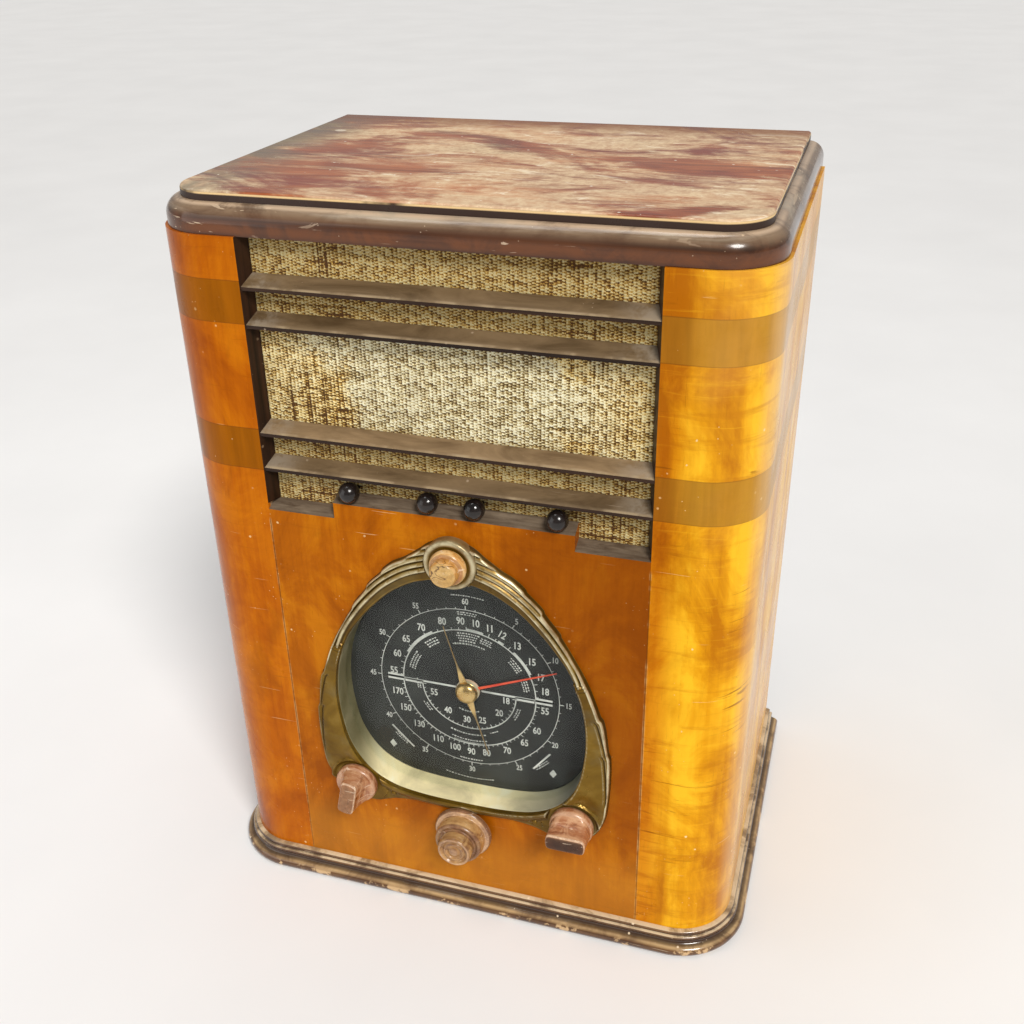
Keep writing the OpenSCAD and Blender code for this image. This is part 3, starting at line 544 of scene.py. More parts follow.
def moulding_material(name, box, is_top):
    """Very dark glossy lacquer, dusty on top, with worn brown edges. On the bullnose, painted highlights and
    a painted glow; in the base's cove and quirk, painted shade.
    """
    s = Shader(name)
    low, high = box
    fibre = streaks(s, 0, 0.7, 9)
    colour = s.ramp(fibre, [(0.35, (0.026, 0.010, 0.005)), (0.7, (0.090, 0.034, 0.015))])
    rub = s.noise(22, 5, 0.7, 0.8)
    upward = s.facing(2)
    if is_top:
        # painted reddish glow along the bullnose's lower edge
        painted_glow = s.band(2, low.z + 0.001, low.z + 0.009, 0.003)
        colour = s.mix(painted_glow * s.between(rub, 0.35, 0.65, 0.2, 0.85), colour, (0.15, 0.045, 0.01))
        # upward faces paler in patches: dust, and a painted highlight
        haze = s.between(upward, 0.2, 0.8) * s.between(rub, 0.3, 0.62, 0.2, 0.65)
        colour = s.mix(haze, colour, (0.30, 0.205, 0.125))
        # paler streaks on the upper curve: a painted highlight with dust in it
        streaky_highlight_and_dust = s.between(upward, 0.45, 0.85) * s.between(s.grain((7, 7, 90), 5, 0.65, 0.3), 0.42, 0.62)
        colour = s.mix(streaky_highlight_and_dust * 0.7, colour, (0.5, 0.42, 0.31))
        edge = s.band(2, high.z - 0.0015, high.z, 0.0008)
        lines = s.grain((26, 26, 150), 3, 0.6, 1.5, turn=(0.2, 0.7, 0.4))
        colour = s.mix(s.between(lines, 0.655, 0.675, 0.0, 0.8) * s.between(s.noise(7, 2), 0.46, 0.56),
                       colour, (0.72, 0.55, 0.38))
        bare, amount = (0.62, 0.46, 0.30), 0.9
    else:
        foot = s.band(2, low.z + 0.001, low.z + 0.0075, 0.0015)
        edge = s.band(2, high.z - 0.0062, high.z + 0.001, 0.0006) * s.between(upward, 0.45, 0.85)
        warm = s.ramp(fibre, [(0.35, (0.085, 0.034, 0.009)), (0.7, (0.200, 0.095, 0.030))])
        colour = s.mix(s.between(rub, 0.36, 0.60, 0.25, 0.9), colour, warm)
        dust = s.between(upward, 0.45, 0.98) * s.between(rub, 0.32, 0.6, 0.2, 0.85)
        colour = s.mix(dust, colour, (0.60, 0.41, 0.20))
        chips = foot * s.between(s.noise(55, 4, 0.7), 0.53, 0.6)
        colour = s.mix(chips * 0.85, colour, (0.66, 0.44, 0.22))
        # painted shade in the cove, which faces down, and in the quirk between the small beads
        cove = s.band(2, low.z + 0.0092, low.z + 0.0136, 0.0006) * s.between(s.facing(1), 0.5, 0.2)
        quirk = s.band(2, low.z + 0.0160, low.z + 0.0166, 0.0002)
        dark = s.most(cove * 0.8, quirk * 0.9)
        colour = s.mix(dark, colour, (0.030, 0.012, 0.004))
        bare, amount = (0.78, 0.62, 0.42), 0.9
    pale = (0.50, 0.36, 0.24) if is_top else (0.62, 0.48, 0.31)
    colour = s.mix(edge * s.between(rub, 0.38, 0.56, 0.15, 0.95), colour, pale)
    colour, _ = lacquer_wear(s, colour, bare, amount)
    rough = s.between(s.noise(13, 4), 0.35, 0.7, 0.12, 0.28)
    coat = 0.3 if is_top else 0.8
    return s.done(colour, rough, s.bump(fibre, 0.1, 0.0005), Specular_IOR_Level=0.3, Coat_Weight=coat,
                  Coat_Roughness=0.1)


def make_base():
    """Moulding round the cabinet's foot: a foot bead, a cove and two small beads. Section: (out, up), mm."""
    foot = [(7.8 + 4.65 * math.cos(a), 4.65 + 4.65 * math.sin(a)) for a in np.linspace(-1.45, 1.30, 14)]
    cove = [(8.7, 9.4), (8.2, 9.45), (7.2, 9.7), (6.4, 10.3), (5.8, 11.3), (5.55, 12.3)]
    beads = [(4.6 + 1.7 * math.cos(a), 14.4 + 1.7 * math.sin(a)) for a in np.linspace(-0.95, 1.40, 9)]
    beads += [(3.9, 16.2)] + [(2.4 + 1.5 * math.cos(a), 17.95 + 1.5 * math.sin(a))
                              for a in np.linspace(-0.75, 1.5, 9)]
    section = [(-20, 0), (6.8, 0)] + foot + cove + beads + [(1.4, 19.9), (0.05, 20), (0.05, 8), (-20, 8)]
    low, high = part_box("base_moulding")
    out, round_r = 12.5 * MM, 44 * MM
    wide, ahead = high.x - out, low.y + out
    straight = [((wide, y), 0.0) for y in np.linspace(high.y, ahead + round_r, 12)]
    corner = [((wide - round_r, ahead + round_r), a) for a in np.linspace(0, -math.pi / 2, 25)]
    half = [(p[0], p[1], a) for p, a in straight]
    half += [(p[0] + round_r * math.cos(a), p[1] + round_r * math.sin(a), a) for p, a in corner[1:]]
    path = half + [(-x, y, math.pi - a) for x, y, a in reversed(half)]
    verts = [(x + u * MM * math.cos(a), y + u * MM * math.sin(a), v * MM)
             for x, y, a in path for u, v in section]
    n = len(section)
    faces = grid_faces(len(path), n, wrap_cols=True)
    faces += [tuple(range(n))[::-1], tuple((len(path) - 1) * n + i for i in range(n))]
    piece = new_object("base_moulding_wood", verts, faces)
    finish_piece(piece, "root", "ebonised_wood", moulding_material("base_wood", (low, high), False),
                 "base_moulding")


def louvre_material(i):
    """Dark wood whose sloping upper face holds a grey-brown dust, with a painted highlight along its front
    lip.
    """
    s = Shader(f"louvre_wood_{i}")
    fibre = streaks(s, 0, 0.8, i)
    wood = s.ramp(fibre, [(0.35, (0.012, 0.005, 0.002)), (0.7, (0.042, 0.018, 0.008))])
    pale = 1.45 if i == 3 else 1.0
    low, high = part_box(f"louvre_bar_{i}")
    dusty = s.ramp(s.grain((16, 60, 60), 5, 0.65, 0.8, shift=(i, 0, 0)),
                   [(0.3, (0.07 * pale, 0.041 * pale, 0.017 * pale)),
                    (0.7, (0.205 * pale, 0.136 * pale, 0.07 * pale))])
    ends = s.between(abs(s.axis(0)), high.x - 0.035, high.x - 0.004, 0.0, 0.6)
    ends = ends * s.between(s.noise(60, 4, 0.7), 0.38, 0.6)
    dusty = s.mix(ends, dusty, (0.30, 0.25, 0.19))
    upward = s.between(s.facing(2), 0.1, 0.35)
    colour = s.mix(upward, wood, dusty)
    # painted highlight along the front lip, where the edge catches the light
    lip = s.between(s.axis(1), low.y + 0.0008, low.y + 0.0022, 1.0, 0.0)
    painted_lip_highlight = lip * upward * s.between(s.noise(45, 4), 0.42, 0.6, 0.1, 0.7)
    colour = s.mix(painted_lip_highlight, colour, (0.40, 0.30, 0.18))
    colour, _ = lacquer_wear(s, colour, (0.42, 0.32, 0.22), 0.6)
    return s.done(colour, s.between(upward, 0, 1, 0.25, 0.42), s.bump(fibre, 0.12, 0.0005),
                  Specular_IOR_Level=0.22)


def jamb_material():
    s = Shader("jamb_wood")
    fibre = streaks(s, 2, 0.8, 6)
    colour = s.ramp(fibre, [(0.35, (0.011, 0.005, 0.002)), (0.7, (0.045, 0.018, 0.008))])
    colour, _ = lacquer_wear(s, colour, (0.30, 0.20, 0.12), 0.5)
    rough = s.between(s.noise(40, 4), 0.3, 0.7, 0.3, 0.5)
    return s.done(colour, rough, s.bump(fibre, 0.15, 0.0005), Specular_IOR_Level=0.2)


def raw_wood(name, seed):
    s = Shader(f"raw_{name}")
    fibre = streaks(s, 0, 0.6, seed)
    colour = s.ramp(fibre, [(0.3, (0.20, 0.12, 0.06)), (0.7, (0.42, 0.28, 0.16))])
    grime = s.between(s.noise(9, 4, 0.6), 0.45, 0.75, 0.0, 0.6)
    return s.done(s.mix(grime, colour, (0.10, 0.07, 0.045)), 0.75, s.bump(fibre, 0.3, 0.0006))


# ---------------------------------------------------------------- dial: places shared with the CAD model
# along Y: the front panel's face, the dial plate's face and the edge of the glass
FRONT = -0.138
PLATE = -0.116
GLASS = -0.1275
# centres, as (x, z)
DIAL = (0.0, 0.2053)
KNOB_TOP, KNOB_SIDE, KNOB_TUNING = (0.0, 0.334), (0.091, 0.1115), (0.0, 0.0805)
# right halves of the outlines of the window and the escutcheon, as (x, z) in millimetres
WINDOW = ((0, 319.5), (26, 314.5), (46, 303.5), (62, 289), (76, 272.5), (88, 254), (97, 230), (101, 204),
          (100, 178), (94.4, 150.8), (80.8, 128.4), (60.4, 115.4), (34, 110.4), (0, 109.4))
EDGE = ((0, 352.5), (15, 348.5), (25, 341), (36, 333), (46, 327), (56, 317), (67, 304), (80, 285),
        (92, 264.5), (101.5, 246), (108.5, 227), (113.5, 211), (117, 194), (119, 178), (120, 158),
        (119, 138), (116.5, 120), (108, 102.5), (93, 94.5), (75, 93.5), (58, 99), (36, 101), (0, 100))
# the beads' angle from the top, in degrees
BEADS_AT = math.degrees(math.atan2(101.5, 248 - 205.3))


def closed_curve(half, steps=8):
    """A smooth closed outline, in metres, through the points of its right half and their mirror images."""
    pts = np.array(list(half) + [(-x, z) for x, z in half[-2:0:-1]], float) * MM
    n = len(pts)
    out = []
    for i in range(n):
        out += spline(pts[i - 1], pts[i], pts[(i + 1) % n], pts[(i + 2) % n], steps)
    return np.array(out)


def polar(curve, angles):
    """Distance from the dial's centre to a closed outline, at angles clockwise from the top."""
    x, z = curve[:, 0] - DIAL[0], curve[:, 1] - DIAL[1]
    at = np.arctan2(x, z) % (2 * math.pi)
    order = np.argsort(at)
    return np.interp(angles, at[order], np.hypot(x, z)[order], period=2 * math.pi)


def ease(value, low, high):
    """0 below low, 1 above high, smooth between."""
    t = np.clip((value - low) / (high - low), 0, 1)
    return t * t * (3 - 2 * t)


# ---------------------------------------------------------------- escutcheon
def flute_height(angle, from_window, from_edge, x, z):
    """Height of the cast relief ahead of the panel, in millimetres."""
    side = np.abs((np.degrees(angle) + 180) % 360 - 180)
    height = np.full_like(side, 6.5)

    # a plain bevel round the window, then parallel flutes on the upper sides,
    # each a step lower than the one inside it
    bevel = np.maximum(9.2 - 0.10 * side, 0.8)
    upper = ease(side, 7.0, 7.6) * (1 - ease(side, 66, 68))
    count = (from_window - bevel) / (4.3 - 0.012 * side)
    step, share = np.floor(np.maximum(count, 0)), np.maximum(count, 0) % 1.0
    fluted = 7.4 - 0.8 * step - 2.2 * (1 - np.sin(np.pi * share ** 0.62) ** 0.75)
    sloping = 5.2 - 1.6 * (1 - np.clip(from_window / bevel, 0, 1))
    height = height * (1 - upper) + upper * np.where(count > 0, fluted, sloping)

    # two long slivers along the edge of the lower sides
    for start, end in ((84, 101), (100, 121)):
        along = ease(side, start - 1.0, start + 0.6) * (1 - ease(side, end - 2, end))
        width = 4.6 - 2.6 * ease(side, start, end)
        sliver = 0.4 + 1.0 * np.exp(-((from_edge - width) / 0.7) ** 2)
        height = height - along * sliver * (from_edge < width + 1.6)

    # the band falls away steeply round the bottom
    bottom = ease(side, 118, 134)
    fall = 6.5 - 4.6 * ease(from_window, 2.0, 11.0)
    height = height * (1 - bottom) + bottom * fall

    # three beads right across each side
    along = (side - BEADS_AT) * 1.9
    beads = np.where(np.abs(along) < 4.2, 1.1 * np.abs(np.sin(np.pi * (along + 4.2) / 2.8)) - 0.4, 0)
    height = np.where(np.abs(along) < 4.2, np.maximum(height, 5.6) + beads, height)

    # dished lobes under the side knobs, with a raised crescent on the outer side
    for sign in (-1, 1):
        dx, dz = x * 1000 - sign * KNOB_SIDE[0] * 1000, z * 1000 - KNOB_SIDE[1] * 1000
        r = np.hypot(dx, dz)
        outer = ease(dx * sign + 0.5 * dz, -2, 12)
        crest = 3.0 + 3.0 * outer * np.exp(-((r - 22.2) / 1.5) ** 2)
        beyond = np.maximum(np.minimum(height, crest + np.maximum(r - 20.5, 0) * 2), crest)
        height = np.where(r < 19.6, 2.9, np.where(r < 26, beyond, height))
    clear = np.hypot(x * 1000 - KNOB_TUNING[0] * 1000, z * 1000 - KNOB_TUNING[1] * 1000)
    height = np.where(clear < 27, np.minimum(height, 2.9 + np.maximum(clear - 25.0, 0) * 1.6), height)
    top = np.hypot(x * 1000, z * 1000 - KNOB_TOP[1] * 1000)
    height = np.where(top < 20.2, np.minimum(height, 5.0), height)
    return height - np.maximum(height - 1.2, 0) * (1 - ease(from_edge, 0.0, 1.5)) ** 1.5


def make_escutcheon():
    """Cast frame round the dial. Rows of points run out from the window's edge, one column for each angle."""
    steps, rows = 960, 72
    window, edge = closed_curve(WINDOW), closed_curve(EDGE)
    angles = np.arange(steps) * 2 * math.pi / steps
    inner, outer = polar(window, angles), polar(edge, angles)
    side = np.abs((np.degrees(angles) + 180) % 360 - 180)
    for nose, reach in ((25.5, 1.0), (34.5, 1.1), (45, 1.0)):
        gap = side - nose
        outer = outer + reach * MM * ease(gap, -8, 0) * (1 - ease(gap, 0, 1.0))
    for nose, reach in ((84, 1.3), (100, 1.1)):
        gap = side - nose
        outer = outer + reach * MM * ease(gap, -1.2, 0.4) * (1 - ease(gap, 1, 14))
    grid = []
    share = np.linspace(0, 1, rows)
    sin, cos = np.sin(angles), np.cos(angles)
    edge = np.stack([DIAL[0] + outer * sin, DIAL[1] + outer * cos], 1)

    def ring_at(radius, y):
        return np.stack([DIAL[0] + radius * sin, np.broadcast_to(y, radius.shape), DIAL[1] + radius * cos], 1)

    grid += [ring_at(inner, GLASS), ring_at(inner, FRONT - 2.4 * MM)]
    heights, shaded = [], []
    for f in share:
        radius = inner + (outer - inner) * f
        x, z = DIAL[0] + radius * sin, DIAL[1] + radius * cos
        from_window = nearest(np.stack([x, z], 1), window) * 1000
        from_edge = nearest(np.stack([x, z], 1), edge) * 1000
        height = flute_height(angles, from_window, from_edge, x, z)
        height = height - 0.9 * (1 - ease(from_window, 0, 1.2)) ** 2
        heights.append(height)
        # painted shade on the bevel band inside the first flute, on the upper sides
        shaded.append(0.22 * (from_window < np.maximum(8.6 - 0.1 * side, 0)) * ease(side, 7.0, 7.6)
                      * (1 - ease(side, 66, 68)))
        grid.append(ring_at(radius, FRONT - height * MM))
    grid.append(ring_at(outer, FRONT + 0.0 * angles))
    grid.append(ring_at(inner + 2 * MM, FRONT + 0.0 * angles))
    grid.append(ring_at(inner + 2 * MM, GLASS + 0.0 * angles))
    verts = [p for row in grid for p in row]
    body = verts, grid_faces(len(grid), steps, wrap_rows=True, wrap_cols=True)
    # crest wear from the relief; painted shade and painted highlights are folded into it below
    wear_and_light = crest_wear(np.array(heights), (outer - inner) * 1000 / (rows - 1))
    # painted highlight on the outer edge's side, brighter on the upper part
    lit = 0.5 + 0.2 * (1 - ease(side, 66, 76))
    wear_and_light = wear_and_light - np.array(shaded)
    wear_and_light[-3:] = np.minimum(wear_and_light[-3:], lit + 0.06)
    # painted shade: crests on the lower left are less bright
    dull = 1 - 0.65 * ease(side, 72, 80) * (sin < 0)
    wear_and_light = np.where(wear_and_light > 0.5, 0.5 + (wear_and_light - 0.5) * dull, wear_and_light)
    wear_and_light = np.concatenate([np.full(2 * steps, 0.5), wear_and_light.ravel(), lit, np.full(2 * steps, 0.5)])
    boss_shape = rounded(((19.8, -21.8), (20.2, -2), (20.4, 3.2), (20.2, 5.2), (19.6, 6.8), (18.6, 7.7),
                          (17.4, 7.9), (16.3, 7.8), (15.3, 7.4), (14.4, 6.9), (9, 6.7), (5.6, 6.7),
                          (5.2, 6.2), (5.2, -9.0), (13.2, -9.0), (13.2, -21.8)))
    boss_sides = 160
    boss = (ring_points(boss_shape * MM, (KNOB_TOP[0], FRONT, KNOB_TOP[1]), boss_sides),
            grid_faces(len(boss_shape), boss_sides, wrap_rows=True, wrap_cols=True))
    # the boss's pale crest: partly wear, partly a painted highlight
    boss_wear_and_highlight = 0.56 + 0.30 * np.exp(-((boss_shape[:, 0] - 18.2) / 2.2) ** 2)
    wear_and_light = np.concatenate([wear_and_light, np.repeat(boss_wear_and_highlight, boss_sides)])
    verts, faces = joined([body, boss])
    piece = new_object("escutcheon", verts, faces)
    piece.data.attributes.new("wear_and_light", "FLOAT", "POINT").data.foreach_set("value", wear_and_light)
    finish_piece(piece, "root", "bronze", bronze_material(), "dial_escutcheon")


def star_solid(name, reach, section, steps=480):
    """A closed solid about the dial's centre. Section: (share of the reach, growth in mm, place along Y)."""
    angles = np.arange(steps) * 2 * math.pi / steps
    radius = polar(closed_curve(WINDOW), angles)
    if reach:
        offset = KNOB_TOP[1] - DIAL[1]
        inside = reach ** 2 - (offset * np.sin(angles)) ** 2
        near = offset * np.cos(angles) - np.sqrt(np.maximum(inside, 0))
        radius = np.where((inside > 0) & (np.cos(angles) > 0), np.minimum(radius, near), radius)
    verts = []
    for share, growth, y in section:
        size = radius * share + growth * MM
        verts += [(DIAL[0] + r * math.sin(a), y, DIAL[1] + r * math.cos(a)) for r, a in zip(size, angles)]
    solid = section[0][0] == 0
    piece = new_object(name, verts, grid_faces(len(section), steps, wrap_rows=not solid, wrap_cols=True))
    tidy_ends(piece)
    return piece


def make_bezel():
    """The pale wall that runs from the window's lip back to the dial plate, and the domed glass across it."""
    lip, back = FRONT - 2.1 * MM, PLATE - 0.1 * MM
    wall = star_solid("bezel_wall", 0, ((1, 0.05, lip), (1, -0.25, lip + 0.3 * MM),
                                        (1, -0.3, lip + 2 * MM), (1, -0.3, back - 5 * MM),
                                        (1, -0.3, back), (1, 1.5, back), (1, 1.5, lip + 4 * MM)))
    finish_piece(wall, "root", "black_paint", wall_material(), "glass_frame")
    shares = np.linspace(0, 1, 13)
    crown, thick = 2.6 * MM, 1.6 * MM
    front = [(f, 0.5 * (f == 1), GLASS - crown * (1 - f * f)) for f in shares]
    behind = [(f, 0.5 * (f == 1), GLASS - crown * (1 - f * f) + thick) for f in shares[::-1]]
    pane = star_solid("dial_glass_pane", 0.019, front + behind, 240)
    finish_piece(pane, "root", "dial_glass", glass_material("dial_glass", (0.97, 0.98, 0.97)), "dial_glass")


def nearest(points, curve, finer=4):
    """Distance from each point to a closed outline."""
    after = np.roll(curve, -1, 0)
    dense = np.concatenate([curve + (after - curve) * t for t in np.arange(finer) / finer])
    return np.sqrt(((points[:, None, :] - dense[None, :, :]) ** 2).sum(2).min(1))


def crest_wear(heights, spacing):
    """Over 0.5 on crests and under it in grooves, from the points 1.2 mm to either side."""
    rows, steps = heights.shape
    index = np.arange(rows)[:, None]
    reach = np.maximum(np.round(1.2 / spacing).astype(int), 1)[None, :]
    column = np.arange(steps)[None, :]
    inward = heights[np.clip(index - reach, 0, rows - 1), column]
    outward = heights[np.clip(index + reach, 0, rows - 1), column]
    rise = heights - (inward + outward) / 2
    return np.clip(0.5 + rise * 0.55, 0, 1)


def bronze_material(name="bronze", worn=True):
    s = Shader(name)
    wear_and_light = s.out(s.node("ShaderNodeAttribute", attribute_name="wear_and_light"), "Fac")
    patina = s.noise(38, 5, 0.6, 0.6)
    colour = s.ramp(patina, [(0.3, (0.1, 0.05, 0.003)), (0.55, (0.18, 0.1, 0.008)),
                             (0.75, (0.26, 0.16, 0.026))])
    colour = s.mix(s.between(s.noise(21, 4, 0.6), 0.5, 0.7, 0.0, 0.35), colour, (0.19, 0.17, 0.09))
    if worn:
        rubbed = s.between(s.noise(70, 4, 0.65), 0.30, 0.60, 0.35, 1.0)
        # dark where the relief is low: patina in the hollows, plus painted shade; pale on crests: wear, plus
        # painted highlights
        colour = s.mix(s.between(wear_and_light, 0.44, 0.16, 0.0, 0.75), colour, (0.040, 0.021, 0.004))
        colour = s.mix(s.between(wear_and_light, 0.56, 0.95) * rubbed, colour, (0.64, 0.57, 0.37))
    rough = s.between(s.noise(55, 4, 0.6), 0.3, 0.7, 0.26, 0.44)
    return s.done(colour, rough, s.bump(s.noise(240, 3, 0.6), 0.12, 0.0005), Metallic=0.45,
                  Specular_IOR_Level=0.25)


def wall_material():
    """Pale metal of the wall behind the glass: painted light makes it cream where it faces up, and painted
    shade with some patina makes it olive at the sides.
    """
    s = Shader("bezel_metal")
    cloud = s.noise(20, 5, 0.6, 0.8)
    cream = s.ramp(cloud, [(0.3, (0.66, 0.58, 0.34)), (0.5, (0.98, 0.86, 0.50)), (0.68, (1.0, 0.96, 0.70))])
    olive = s.ramp(cloud, [(0.3, (0.10, 0.085, 0.030)), (0.7, (0.26, 0.23, 0.13))])
    # painted light and shade: cream where the wall faces up, olive at the sides, partly patina
    colour = s.mix(s.between(s.facing(2), 0.35, 0.95), olive, cream)
    grey = s.between(s.axis(0), 0.010, 0.070, 0.0, 0.9)
    colour = s.mix(grey, colour, s.mix(0.80, colour, (0.16, 0.165, 0.14)))
    return s.done(colour, s.between(cloud, 0.3, 0.7, 0.32, 0.5), s.bump(s.noise(160, 3), 0.1, 0.0005),
                  Metallic=0.1)


# ---------------------------------------------------------------- dial print and pointers
def on_plate(x, z):
    """A point of the dial's print, from millimetres right of and above its centre."""
    return (DIAL[0] + x * MM, PLATE - 0.2 * MM, DIAL[1] + z * MM)


def arc_band(radius, width, first=0.0, last=360.0):
    """A flat ring or part of one. Angles are clockwise from the top."""
    steps = max(int(abs(last - first) / 1.5), 4)
    verts = []
    for r in (radius - width / 2, radius + width / 2):
        for i in range(steps + 1):
            a = math.radians(first + (last - first) * i / steps)
            verts.append(on_plate(r * math.sin(a), r * math.cos(a)))
    return verts, grid_faces(2, steps + 1)


def stroke(x0, z0, x1, z1, width):
    length = math.hypot(x1 - x0, z1 - z0)
    nx, nz = -(z1 - z0) / length * width / 2, (x1 - x0) / length * width / 2
    corners = ((x0 - nx, z0 - nz), (x1 - nx, z1 - nz), (x1 + nx, z1 + nz), (x0 + nx, z0 + nz))
    return [on_plate(x, z) for x, z in corners], [(0, 1, 2, 3)]


def tick(angle, low, high, width):
    a = math.radians(angle)
    return stroke(low * math.sin(a), low * math.cos(a), high * math.sin(a), high * math.cos(a), width)


def numeral(text, angle, radius, size, lean=0.0):
    """Upright condensed figures centred at a place on a scale."""
    curve = bpy.data.curves.new("figures", "FONT")
    curve.body = text
    curve.size = size
    curve.offset = size * 0.022
    curve.align_x, curve.align_y = "CENTER", "CENTER"
    curve.resolution_u = 3
    holder = bpy.data.objects.new("figures", curve)
    bpy.context.scene.collection.objects.link(holder)
    mesh = bpy.data.meshes.new_from_object(holder.evaluated_get(bpy.context.evaluated_depsgraph_get()))
    a, tilt = math.radians(angle), math.radians(lean)
    x0, z0 = radius * math.sin(a), radius * math.cos(a)
    verts = []
    for v in mesh.vertices:
        x, z = v.co.x * 0.74, v.co.y
        verts.append(on_plate(x0 + x * math.cos(tilt) + z * math.sin(tilt),
                              z0 - x * math.sin(tilt) + z * math.cos(tilt)))
    faces = [tuple(f.vertices) for f in mesh.polygons]
    bpy.data.objects.remove(holder)
    bpy.data.meshes.remove(mesh)
    return verts, faces


def word_marks(angle, radius, span, height, rows, seed):
    """Rows of short dashes, curved about the dial's centre, where small print would be."""
    rng = np.random.default_rng(seed)
    parts = []
    for row in range(rows):
        r = radius - row * height * 1.55
        at = -span / 2 + rng.uniform(0, span * 0.12)
        while at < span / 2:
            long = rng.uniform(0.9, 2.6)
            turn = math.degrees(long / r)
            parts.append(arc_band(r, height * rng.uniform(0.55, 0.95), angle + at, angle + at + turn * 0.8))
            at += turn + math.degrees(0.45 / r)
    return parts


def dial_print():
    """Scales, figures and marks, as thin flat shapes just in front of the plate."""
    parts = [arc_band(73.5, 0.55), arc_band(54.7, 0.95), arc_band(38.7, 0.9, 90, 270)]
    parts += [arc_band(55.9, 1.7, a, b) for a, b in ((-62, -30), (0, 14), (27, 32), (42, 65))]
    for i in range(60):
        parts.append(tick(i * 6, 73.3, 75.2 if i % 5 else 77.0, 0.55 if i % 5 else 0.8))
    for i in range(-14, 15):
        parts.append(tick(i * 6.2, 54.7, 57.0 if i % 3 else 58.2, 0.6))
    for i in range(40):
        parts.append(tick(96 + i * 4.3, 54.7, 56.8 if i % 4 else 58.0, 0.6))
    for i in range(30):
        parts.append(tick(166 + i, 52.9, 54.7, 0.4))
    for i in range(28):
        parts.append(tick(94 + i * 6.4, 36.9 if i % 3 else 35.8, 38.7, 0.6))
    parts += [stroke(side * 10.5, 0, side * 68, 0, 1.8) for side in (-1, 1)]
    parts += [stroke(side * 55, 0, side * 68, 0, 5.6) for side in (-1, 1)]
    parts += [stroke(side * 38, -1.3, side * 53.5, -1.3, 3.2) for side in (-1, 1)]
    outer = ["60"] + [str(n) for n in range(5, 60, 5)]
    parts += [numeral(text, i * 30, 80.8, 7.2) for i, text in enumerate(outer)]
    upper = ((-85, "55"), (-69, "60"), (-53, "65"), (-36, "70"), (-18, "80"), (-4, "90"), (7, "10"),
             (17.6, "11"), (40, "13"), (55.5, "15"), (69, "17"), (81, "18"))
    lower = ((98, "55"), (118, "60"), (134, "65"), (151, "70"), (168, "80"), (180, "90"), (-167, "100"),
             (-153, "110"), (-135, "130"), (-118.5, "150"), (-103.5, "170"))
    inner = ((100, "18"), (127, "20"), (160, "25"), (-175, "30"), (-143.5, "40"), (-107.5, "55"))
    parts += [numeral(text, a, 62.8, 9.0) for a, text in upper] + [numeral("12", 27, 62.8, 9.0, 25)]
    parts += [numeral(text, a, 62.6, 9.0) for a, text in lower]
    parts += [numeral(text, a, 30.8, 8.6) for a, text in inner]
    for side in (-1, 1):
        x, z = 68.5 * side, -69.5
        diamond = ((0, 4.4), (2.9 * side, 0.4), (0, -4.0), (-3.2 * side, -0.2))
        parts.append(([on_plate(x + dx, z + dz) for dx, dz in diamond], [(0, 1, 2, 3)]))
    parts += [stroke(-68, -50, -50, -69, 1.5), stroke(66, -50, 52, -68, 1.5)]
    marks = ((0, 52.0, 20, 1.5, 4), (18, 51.0, 12, 1.3, 3), (-37, 50.5, 15, 1.5, 3),
             (-68, 50.0, 20, 1.4, 3), (52, 50.5, 16, 1.4, 3), (75, 50.0, 11, 1.3, 3),
             (0, 42.5, 40, 1.7, 1), (180, 45.0, 40, 1.6, 1), (180, 51.0, 34, 1.5, 1),
             (180, 22.0, 46, 1.7, 1), (-125, 43.5, 12, 1.2, 2), (-95, 43.0, 12, 1.2, 2),
             (152, 43.5, 10, 1.2, 1), (112, 43.5, 14, 1.2, 2), (180, 70.5, 16, 1.6, 1),
             (0, 71.0, 14, 1.2, 2), (0, 86.0, 18, 1.2, 1), (180, 90.0, 28, 1.1, 1),
             (-136, 87.0, 9, 1.2, 2), (136, 87.5, 9, 1.2, 2))
    for i, (angle, radius, span, height, rows) in enumerate(marks):
        parts += word_marks(angle, radius, span, height, rows, 40 + i)
    verts, faces = joined(parts)
    piece = new_object("dial_print", verts, faces, smooth=False, closed=False)
    return finish_piece(piece, "root", "dial_black", print_material())


def print_material():
    s = Shader("dial_print")
    fade = s.noise(38, 4, 0.6)
    colour = s.ramp(fade, [(0.3, (0.36, 0.37, 0.35)), (0.65, (0.72, 0.73, 0.69))])
    return s.done(colour, 0.6)


def plate_material():
    s = Shader("dial_black")
    haze = s.noise(14, 5, 0.6, 1.0)
    colour = s.ramp(haze, [(0.35, (0.020, 0.021, 0.021)), (0.75, (0.052, 0.055, 0.052))])
    return s.done(colour, s.between(haze, 0.3, 0.7, 0.45, 0.6), Specular_IOR_Level=0.25)


def glass_material(name, tint, least=0.008, most=0.16):
    """Thin clear glass: light passes straight through, and more of it is mirrored at a slant."""
    s = Shader(name)
    facing = s.out(s.node("ShaderNodeLayerWeight"), "Facing")
    mirrored = facing ** 4.0 * most + least
    through = s.node("ShaderNodeBsdfTransparent")
    through.inputs["Color"].default_value = (*tint, 1)
    gloss = s.node("ShaderNodeBsdfGlossy")
    s.plug(gloss.inputs["Roughness"], s.between(s.noise(30, 4, 0.6, 0.5), 0.35, 0.75, 0.005, 0.03))
    both = s.node("ShaderNodeMixShader")
    s.plug(both.inputs[0], mirrored)
    s.tree.links.new(through.outputs[0], both.inputs[1])
    s.tree.links.new(gloss.outputs[0], both.inputs[2])
    s.tree.links.new(both.outputs[0], s.tree.nodes["Material Output"].inputs["Surface"])
    return s.material


